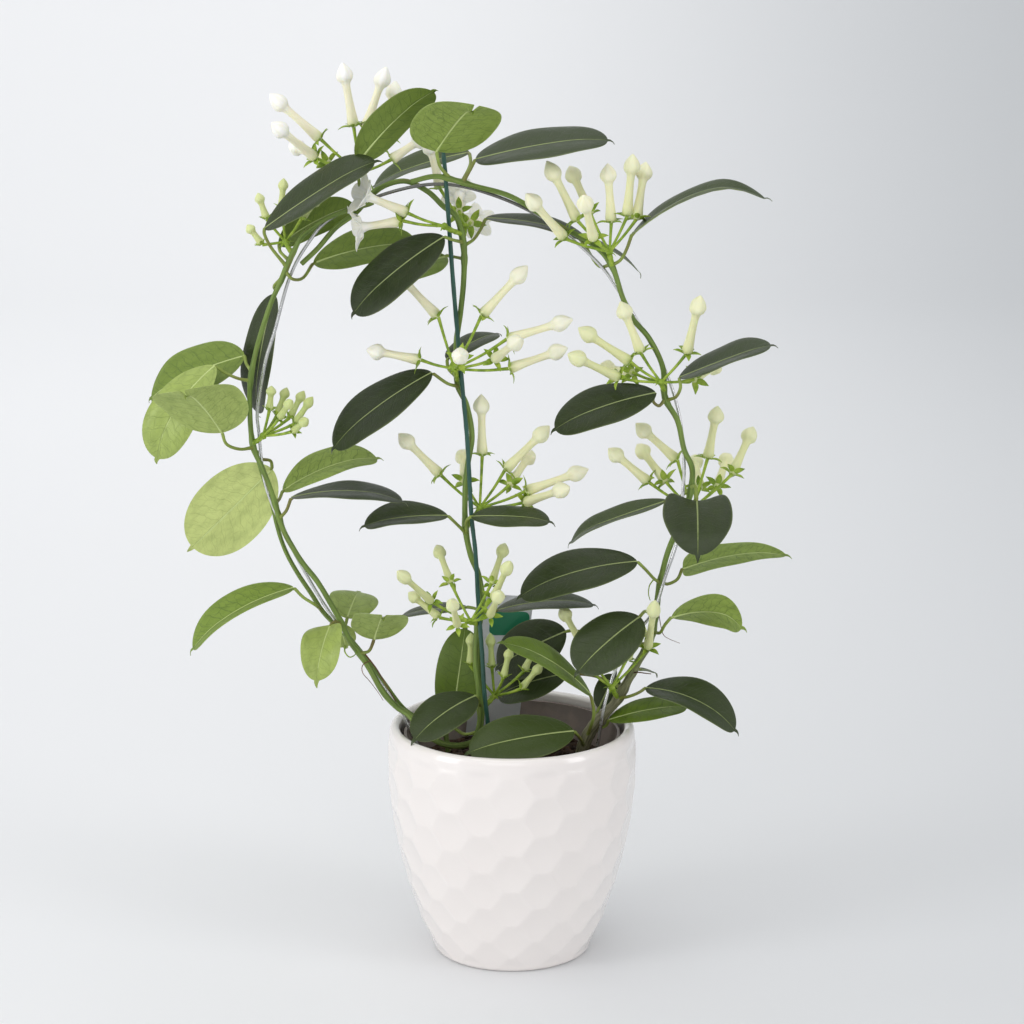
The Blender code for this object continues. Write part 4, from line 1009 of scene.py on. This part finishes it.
def woodiness(name):
    """How woody a stem is at a point: the main stem well above the soil, the others just at their foot."""
    if name == "right_vine":
        return lambda point: min(max((215.0 - point.z) / 60.0, 0.0), 1.0) * 0.9
    return lambda point: 0.15 * min(max((150.0 - point.z) / 30.0, 0.0), 1.0)


def grow_vine(name, materials):
    """A stem, a little rippled and swollen where stalks leave it."""
    route = vine_route(name, STEM_STEPS)
    joints = [row[1][0] for row in [*LEAVES.values(), *STEM_LEAVES.values()] if row[0] == name]
    joints += [row[1] for row in UMBELS.values() if row[0] == name]
    joints = [seen_at(*place) for place in joints]
    radii = []
    for i, point in enumerate(route):
        near = min((point - joint).length for joint in joints)
        radius = vine_radius(name, i / (len(route) - 1))
        ripple = 0.04 * noise.noise(point * 0.12)
        radii.append(radius * (1.0 + 0.3 * math.exp(-((near / 3.5) ** 2)) + ripple))
    grow_rod(name, route, radii, 14, materials["stem"], woodiness(name), (name,))


def flower_kind(umbel, index):
    if index in OPEN_FLOWERS.get(umbel, ()):
        return "open"
    return "young" if umbel in YOUNG_UMBELS else "full"


def grow_blade(skin, base, direction, up, length, width, bend, cup, slot, start, steps=7, across=5, thick=0.3,
               pointed=1.0):
    """A small thin blade for a sepal, bract or petal lobe: it bends back along its length and cups across."""
    loops = []
    patterns = []
    side = direction.cross(up).normalized()
    for i in range(steps):
        u = i / (steps - 1)
        angle = bend * u
        forward = direction * math.cos(angle) - up * math.sin(angle)
        normal = up * math.cos(angle) + direction * math.sin(angle)
        middle = base + (direction * (math.sin(angle) / bend) - up * ((1 - math.cos(angle)) / bend)) * length
        shape = math.sin(math.pi * min(start + (1 - start) * u, 1.0) ** 0.8) ** pointed
        half = max(width / 2 * shape, 0.12)
        top = []
        pattern = []
        for k in range(across):
            v = 2 * k / (across - 1) - 1
            top.append(middle + side * (v * half) + normal * (cup * half * v * v))
            pattern.append(Vector((v * half, 0.75 + 0.25 * u, v)))
        under = [place - normal * thick * (1.0 - 0.6 * u) for place in top]
        loops.append(top + under[::-1])
        patterns.append(pattern + pattern[::-1])
    skin.loft(loops, patterns, 0.0, lambda i: slot)


def splayed(along, out, spread):
    """Which way a sepal or a lobe points when it leans out from its flower's axis, and its upper side."""
    direction = along * math.cos(spread) + out * math.sin(spread)
    return direction, (along * math.sin(spread) - out * math.cos(spread)).normalized()


def grow_flower(skin, hub, umbel, index, dice):
    """A flower on its stalk: a ridged tube with its sepals, and lobes round its mouth if it is open."""
    calyx_place, tip_place, lean = UMBELS[umbel][3][index]
    kind = flower_kind(umbel, index)
    size, sepal_length, sepal_start, sepal_spread = FLOWER_KINDS[kind]
    slim = SLIM_UMBELS.get(umbel, 1.0)
    calyx = seen_at(*calyx_place, depth_for(hub, calyx_place, PEDICEL_LENGTH, lean))
    tip = seen_at(*tip_place, depth_for(calyx, tip_place, size, lean))
    along = (tip - calyx).normalized()
    stretch = (tip - calyx).length / size
    sag = (along * -0.3 + Vector((0, 0, -0.5))) * (calyx - hub).length * 0.06
    pedicel = smooth_route([hub, hub + (calyx - hub) * 0.55 + sag, calyx - along * 1.0], 5)
    radii = [PEDICEL_RADIUS * (0.95 + 0.35 * (i / (len(pedicel) - 1)) ** 4) for i in range(len(pedicel))]
    skin.rod(pedicel, radii, 9, slot=1)

    tone = min(max(FLOWER_TONES[umbel] + dice.uniform(-0.07, 0.07), 0.0), 1.0)
    first = Vector((0.3, 0.2, 1.0)) if abs(along.z) < 0.9 else Vector((1.0, 0.2, 0.0))
    across = (first - along * along.dot(first)).normalized()
    other = along.cross(across)
    spin = dice.uniform(0.0, 6.28)
    loops = []
    patterns = []
    for spot in smooth_route([Vector((*spot, 0.0)) for spot in FLOWER_PROFILES[kind]], 3):
        distance = spot.x
        radius = max(spot.y, 0.06) * slim
        ridge = 0.045 if distance > size * HEAD_START else 0.02
        loop = []
        pattern = []
        for k in range(FLOWER_SIDES):
            angle = 2 * math.pi * k / FLOWER_SIDES
            swirl = spin + distance * 0.05
            r = radius * (1.0 + ridge * math.cos(FLOWER_PARTS * (angle - swirl)))
            out = across * math.cos(angle) + other * math.sin(angle)
            loop.append(calyx + along * distance * stretch + out * r)
            pattern.append(Vector((math.cos(angle) * 2.0, max(distance, 0.0) / size, math.sin(angle) * 2.0)))
        loops.append(loop)
        patterns.append(pattern)
    skin.loft(loops, patterns, tone)

    for k in range(FLOWER_PARTS):
        angle = spin + 2 * math.pi * k / FLOWER_PARTS + dice.uniform(-0.15, 0.15)
        out = across * math.cos(angle) + other * math.sin(angle)
        direction, up = splayed(along, out, dice.uniform(*sepal_spread))
        sepal = sepal_length * dice.uniform(0.85, 1.1) * slim
        base = calyx + out * sepal_start - along * 0.6
        grow_blade(skin, base, direction, up, sepal, sepal * 0.52, dice.uniform(0.3, 1.0), 0.35, 1, 0.16)
    if kind != "open":
        return
    mouth = calyx + along * LOBE_START * stretch
    small = SMALL_LOBES.get(umbel, 1.0)
    for k in range(FLOWER_PARTS):
        angle = spin + 2 * math.pi * (k + 0.5) / FLOWER_PARTS
        out = across * math.cos(angle) + other * math.sin(angle)
        direction, up = splayed(along, out, dice.uniform(0.75, 0.95))
        grow_blade(skin, mouth + out * 3.2, direction, up, LOBE_LENGTH * small, LOBE_WIDTH * small,
                   dice.uniform(0.45, 0.7), 0.12, 0, 0.3, steps=12, across=9, thick=0.45, pointed=0.5)


def grow_umbel(name, materials):
    """A flower head: its stalk from the stem, its hub with small bracts, and its flowers."""
    stem, foot, hub_place, flowers = UMBELS[name]
    dice = random.Random(name)
    hub = seen_at(*hub_place)
    on_axis, outward, radius = stem_beside(stem, seen_at(*foot), hub)
    skin = Skin()
    start = on_axis + outward * radius * STALK_SINK
    stalk = smooth_route([start, (start + hub) / 2 + Vector((0, 0, -0.4)), hub], 5)
    skin.rod(stalk, [1.35 + 0.25 * math.cos(i) ** 2 for i in range(len(stalk))], 10, slot=1)
    rings = [hub + Vector((0.0, 0.0, height)) for height, _ in HUB_RINGS]
    skin.rod(rings, [radius for _, radius in HUB_RINGS], 12, slot=1)
    for i in range(BRACTS):
        angle = 2 * math.pi * i / BRACTS + dice.uniform(-0.3, 0.3)
        direction = Vector((math.cos(angle), math.sin(angle), dice.uniform(-0.6, 0.3))).normalized()
        up = (Vector((0.0, 0.0, 1.0)) - direction * direction.z).normalized()
        grow_blade(skin, hub + direction * 1.4, direction, up, dice.uniform(2.6, 4.0), 1.5, 0.6, 0.3, 1, 0.25,
                   steps=5)
    for index in range(len(flowers)):
        grow_flower(skin, hub, name, index, dice)
    skin.made(name, [materials["petal"], materials["sprout"]], (name,))


def pot_radius(height):
    """The cover pot's outer radius: a wall that swells from the foot to just under the rim."""
    rise = min(max(height, 0.0) / POT_SHOULDER, 1.0)
    swell = POT_FOOT_RADIUS + (POT_WIDEST_RADIUS - POT_FOOT_RADIUS) * math.sin(rise * math.pi / 2) ** 0.82
    below_rim = max(0.0, height - POT_SHOULDER) / (POT_HEIGHT - POT_SHOULDER)
    return swell - (POT_WIDEST_RADIUS - POT_RIM_RADIUS) * below_rim


def facet_dip(angle, gone, radius):
    """How far the wall is pressed in: a shallow facet round the nearest place of a staggered lattice."""
    column = angle * FACET_COLUMNS / (2 * math.pi)
    width = 2 * math.pi * radius / FACET_COLUMNS
    total = 0.0
    for i in (math.floor(column), math.floor(column) + 1):
        shift = 0.5 * (i % 2)
        row = round((gone - FACET_START) / FACET_PITCH - shift)
        for j in (row - 1, row, row + 1):
            x = (column - i) * width
            y = gone - FACET_START - (j + shift) * FACET_PITCH
            total += math.exp(-FACET_SHARPNESS * (x * x + y * y) / 100.0)
    near = -math.log(total + 1e-9) / FACET_SHARPNESS * 100.0
    return max(0.0, 1.0 - near / FACET_REACH)


def make_pot(material):
    """The outer wall is a fine grid pressed in at each facet. The lip, the inside and the foot are turned."""
    foot = POT_FOOT_RADIUS
    section = [(6.0, 0.9), (foot - 4.5, 0.9), (foot - 3.6, 0.0), (foot - 1.2, 0.0), (foot - 0.25, 0.5)]
    section = [(radius, height, 0.0, 0.0) for radius, height in section]
    gone = 0.0
    below = None
    for i in range(POT_WALL_ROWS):
        height = POT_WALL_START + (POT_WALL_END - POT_WALL_START) * i / (POT_WALL_ROWS - 1)
        if below is not None:
            gone += math.hypot(height - below, pot_radius(height) - pot_radius(below))
        below = height
        fade = min(height / 5.0, 1.0) * min(max((FACET_TOP - height) / 6.0, 0.0), 1.0)
        section.append((pot_radius(height), height, fade * fade * (3 - 2 * fade) * FACET_DEPTH, gone))
    for i in range(1, 12):
        angle = math.pi * i / 12
        radius = POT_RIM_RADIUS - POT_LIP_RADIUS + POT_LIP_RADIUS * math.cos(angle)
        height = POT_HEIGHT - POT_LIP_RADIUS + POT_LIP_RADIUS * math.sin(angle)
        section.append((radius, height, 0.0, 0.0))
    for height in POT_INSIDE_HEIGHTS:
        section.append((pot_radius(height) - POT_WALL, height, 0.0, 0.0))
    section.append((pot_radius(12.0) - POT_WALL - 4.0, POT_FLOOR, 0.0, 0.0))
    section.append((8.0, POT_FLOOR, 0.0, 0.0))
    loops = []
    patterns = []
    for radius, height, depth, gone in section:
        loop = []
        for k in range(POT_AROUND):
            angle = 2 * math.pi * k / POT_AROUND
            dip = depth * facet_dip(angle, gone, radius) if depth else 0.0
            loop.append(Vector(((radius - dip) * math.sin(angle), -(radius - dip) * math.cos(angle), height)))
        loops.append(loop)
        patterns.append([Vector((0.0, height, 0.0))] * POT_AROUND)
    skin = Skin()
    skin.loft(loops, patterns)
    skin.made("pot", [material], ("pot",))


def nursery_radius(height):
    part = (height - POT_FLOOR - GAP) / (NURSERY_TOP - POT_FLOOR - GAP)
    return NURSERY_FOOT_RADIUS + (NURSERY_TOP_RADIUS - NURSERY_FOOT_RADIUS) * part


def make_nursery_pot(material):
    """A thin pot, turned down its outside and up its inside, with a rolled band round its rim."""
    foot = POT_FLOOR + GAP
    inside = foot + NURSERY_WALL
    top = NURSERY_TOP
    section = (
        (2.0, foot), (NURSERY_FOOT_RADIUS - 1.0, foot), (NURSERY_FOOT_RADIUS, foot + 1.0),
        (nursery_radius(top - 9.0), top - 9.0), (nursery_radius(top - 8.0) + 0.5, top - 8.4),
        (NURSERY_TOP_RADIUS + 0.5, top - 0.5), (NURSERY_TOP_RADIUS, top),
        (NURSERY_TOP_RADIUS - NURSERY_WALL, top - 0.3),
        (nursery_radius(top - 9.0) - NURSERY_WALL + 0.2, top - 9.0),
        (nursery_radius(top - 10.0) - NURSERY_WALL, top - 10.0),
        (nursery_radius(inside) - NURSERY_WALL, inside), (2.0, inside),
    )
    skin = Skin()
    skin.loft([ring(radius, height, NURSERY_AROUND) for radius, height in section])
    skin.made("nursery_pot", [material], ("nursery_pot",))


def soil_radius(height):
    return nursery_radius(height) - NURSERY_WALL - GAP - SOIL_CLEARANCE


def make_soil(material):
    """The root ball, with a rough top, mounds round the stems and loose crumbs of bark and peat."""
    edge = soil_radius(SOIL_TOP)
    bottom = POT_FLOOR + GAP + NURSERY_WALL + GAP
    feet = [vine_route(name)[0] for name in VINES]
    feet += [seen_at(*HOOP_ROUTE[0]), seen_at(*HOOP_ROUTE[-1]), seen_at(*STAKE_ROUTE[0])]

    def top_at(x, y):
        rough = noise.fractal(Vector((x, y, 3.0)) * 0.09, 0.9, 2.1, 5) * 2.1
        heap = sum(2.6 * math.exp(-((x - foot.x) ** 2 + (y - foot.y) ** 2) / 60.0) for foot in feet)
        return SOIL_TOP + rough * 0.8 + min(heap, 3.0)

    loops = [ring(2.0, bottom, SOIL_AROUND), ring(soil_radius(bottom), bottom, SOIL_AROUND)]
    for i in range(SOIL_RINGS):
        radius = edge - (edge - 0.5) * i / (SOIL_RINGS - 1)
        loops.append([Vector((x, y, top_at(x, y))) for x, y in circle(radius, SOIL_AROUND)])
    skin = Skin()
    skin.loft(loops)
    dice = random.Random("crumbs")
    for _ in range(CRUMBS):
        reach = (edge - 4.0) * math.sqrt(dice.random())
        angle = dice.uniform(0.0, 2 * math.pi)
        x = reach * math.sin(angle)
        y = -reach * math.cos(angle)
        size = dice.uniform(0.8, 2.6)
        middle = Vector((x, y, top_at(x, y) + size * 0.25))
        axis = Vector((dice.uniform(-1, 1), dice.uniform(-1, 1), dice.uniform(-0.4, 0.4))).normalized()
        long_part = dice.uniform(1.0, 2.6)
        route = [middle + axis * size * long_part * t for t in (-1.0, -0.6, 0.0, 0.6, 1.0)]
        radii = [size * r * dice.uniform(0.8, 1.15) for r in (0.15, 0.7, 0.95, 0.7, 0.15)]
        skin.rod(route, radii, 7)
    skin.made("soil", [material], ("soil",))


def make_plate(name, corners, cut, thickness, lift, material, stands_for=()):
    """A thin plate with rounded corners, whose front lies this far in front of its corners' places."""
    points = [seen_at(x, z, LABEL_DEPTH) for x, z in corners]
    rim = []
    for before, corner, after in zip([points[-1], *points[:-1]], points, [*points[1:], points[0]]):
        start = corner + (before - corner).normalized() * cut
        end = corner + (after - corner).normalized() * cut
        for i in range(7):
            t = i / 6
            rim.append(start * (1 - t) ** 2 + corner * 2 * t * (1 - t) + end * t * t)
    front = [point + Vector((0.0, -lift, 0.0)) for point in rim]
    back = [point + Vector((0.0, thickness, 0.0)) for point in front]
    skin = Skin()
    skin.loft([back, front])
    skin.made(name, [material], stands_for)


def make_threads(materials):
    for name, (places, radius, green) in THREADS.items():
        route = smooth_route([seen_at(*place) for place in places], 6)
        radii = [radius * (1.0 - 0.5 * i / len(route)) for i in range(len(route))]
        grow_rod(name, route, radii, 7, materials["sprout" if green else "thread"])


def make_sweep():
    """A pale seamless sweep, with painted shade darkening it towards the right."""
    level, curved, upright = SWEEP_STEPS
    rows = [(SWEEP_FRONT + (SWEEP_BEND - SWEEP_FRONT) * i / level, 0.0) for i in range(level + 1)]
    for i in range(1, curved + 1):
        angle = math.pi / 2 * i / curved
        depth = SWEEP_BEND + SWEEP_RADIUS * math.sin(angle)
        rows.append((depth, SWEEP_RADIUS - SWEEP_RADIUS * math.cos(angle)))
    for i in range(1, upright + 1):
        rows.append((SWEEP_BEND + SWEEP_RADIUS, SWEEP_RADIUS + SWEEP_RISE * i / upright))
    points = [(x, y, z) for y, z in rows for x in (-SWEEP_HALF_WIDTH, SWEEP_HALF_WIDTH)]
    faces = [(2 * i, 2 * i + 1, 2 * i + 3, 2 * i + 2) for i in range(len(rows) - 1)]
    mesh = bpy.data.meshes.new("sweep")
    mesh.from_pydata(points, [], faces)
    mesh.shade_smooth()
    sweep = bpy.data.objects.new("sweep", mesh)
    bpy.context.scene.collection.objects.link(sweep)
    graph = Graph("sweep", {"Specular IOR Level": 0.2})
    place = graph.place()
    shade = graph.noise(place, 0.8, 1.0)
    paper = graph.mix(shade, rgb(0.83, 0.84, 0.85), rgb(0.86, 0.87, 0.88))
    # Painted shade: the paper darkens from left to right, where less light falls on it
    sideways = graph.step(graph.split(place)[0], -0.3, 1.0)
    graph.colour(graph.mix(sideways, paper, rgb(0.56, 0.58, 0.595)))
    graph.roughness(graph.step(shade, 0.3, 0.7, 0.6, 0.75))
    mesh.materials.append(graph.material)


def make_lights():
    """An even pale world and soft area lights, two of which show as soft boxes in the glaze."""
    world = bpy.data.worlds.new("studio")
    world.use_nodes = True
    background = world.node_tree.nodes["Background"]
    background.inputs["Color"].default_value = (*WORLD_COLOUR, 1.0)
    background.inputs["Strength"].default_value = WORLD_STRENGTH
    bpy.context.scene.world = world
    for name, place, aim, size, power in STUDIO_LIGHTS:
        data = bpy.data.lights.new(name, "AREA")
        data.shape = "RECTANGLE"
        data.size, data.size_y = size
        data.energy = power
        light = bpy.data.objects.new(name, data)
        light.location = place
        light.rotation_euler = (Vector(aim) - Vector(place)).to_track_quat("-Z", "Y").to_euler()
        bpy.context.scene.collection.objects.link(light)


def make_camera():
    data = bpy.data.cameras.new("camera")
    data.lens = CAMERA_LENS
    data.sensor_width = 36.0
    data.clip_start = 0.05
    data.clip_end = 50.0
    camera = bpy.data.objects.new("camera", data)
    camera.location = EYE * MM
    camera.rotation_euler = Euler((math.radians(90.0 - CAMERA_PITCH), 0.0, 0.0))
    bpy.context.scene.collection.objects.link(camera)
    bpy.context.scene.camera = camera


def main():
    bpy.context.scene.view_settings.view_transform = "Standard"
    make_camera()
    make_sweep()
    make_lights()
    materials = make_materials()
    make_pot(materials["glaze"])
    make_nursery_pot(materials["nursery"])
    make_soil(materials["soil"])
    make_plate("plant_label", LABEL_CORNERS, 3.5, LABEL_THICKNESS, 0.0, materials["label"], ("plant_label",))
    make_plate("label_patch", PATCH_CORNERS, 4.5, 0.12, 0.14, materials["patch"])
    route = above_soil(smooth_route([seen_at(*place) for place in HOOP_ROUTE], 10), 0.0)
    route[-1].z = SOIL_TOP
    radii = [HOOP_RADIUS] * len(route)
    grow_rod("wire_hoop", route, radii, 14, materials["wire"], stands_for=("wire_hoop",))
    route = above_soil(smooth_route([seen_at(*place) for place in STAKE_ROUTE], 8), 0.0)
    radii = [STAKE_RADIUS * (1.0 + 0.05 * math.sin(i * 1.7)) for i in range(len(route) - 1)]
    radii.append(STAKE_RADIUS * 0.7)
    grow_rod(
        "centre_stake", route, radii, 12, materials["stake"], stands_for=("centre_stake",))
    for name in VINES:
        grow_vine(name, materials)
    for name, row in {**LEAVES, **STEM_LEAVES}.items():
        grow_leaf(name, row, materials)
    for name in UMBELS:
        grow_umbel(name, materials)
    make_threads(materials)


main()
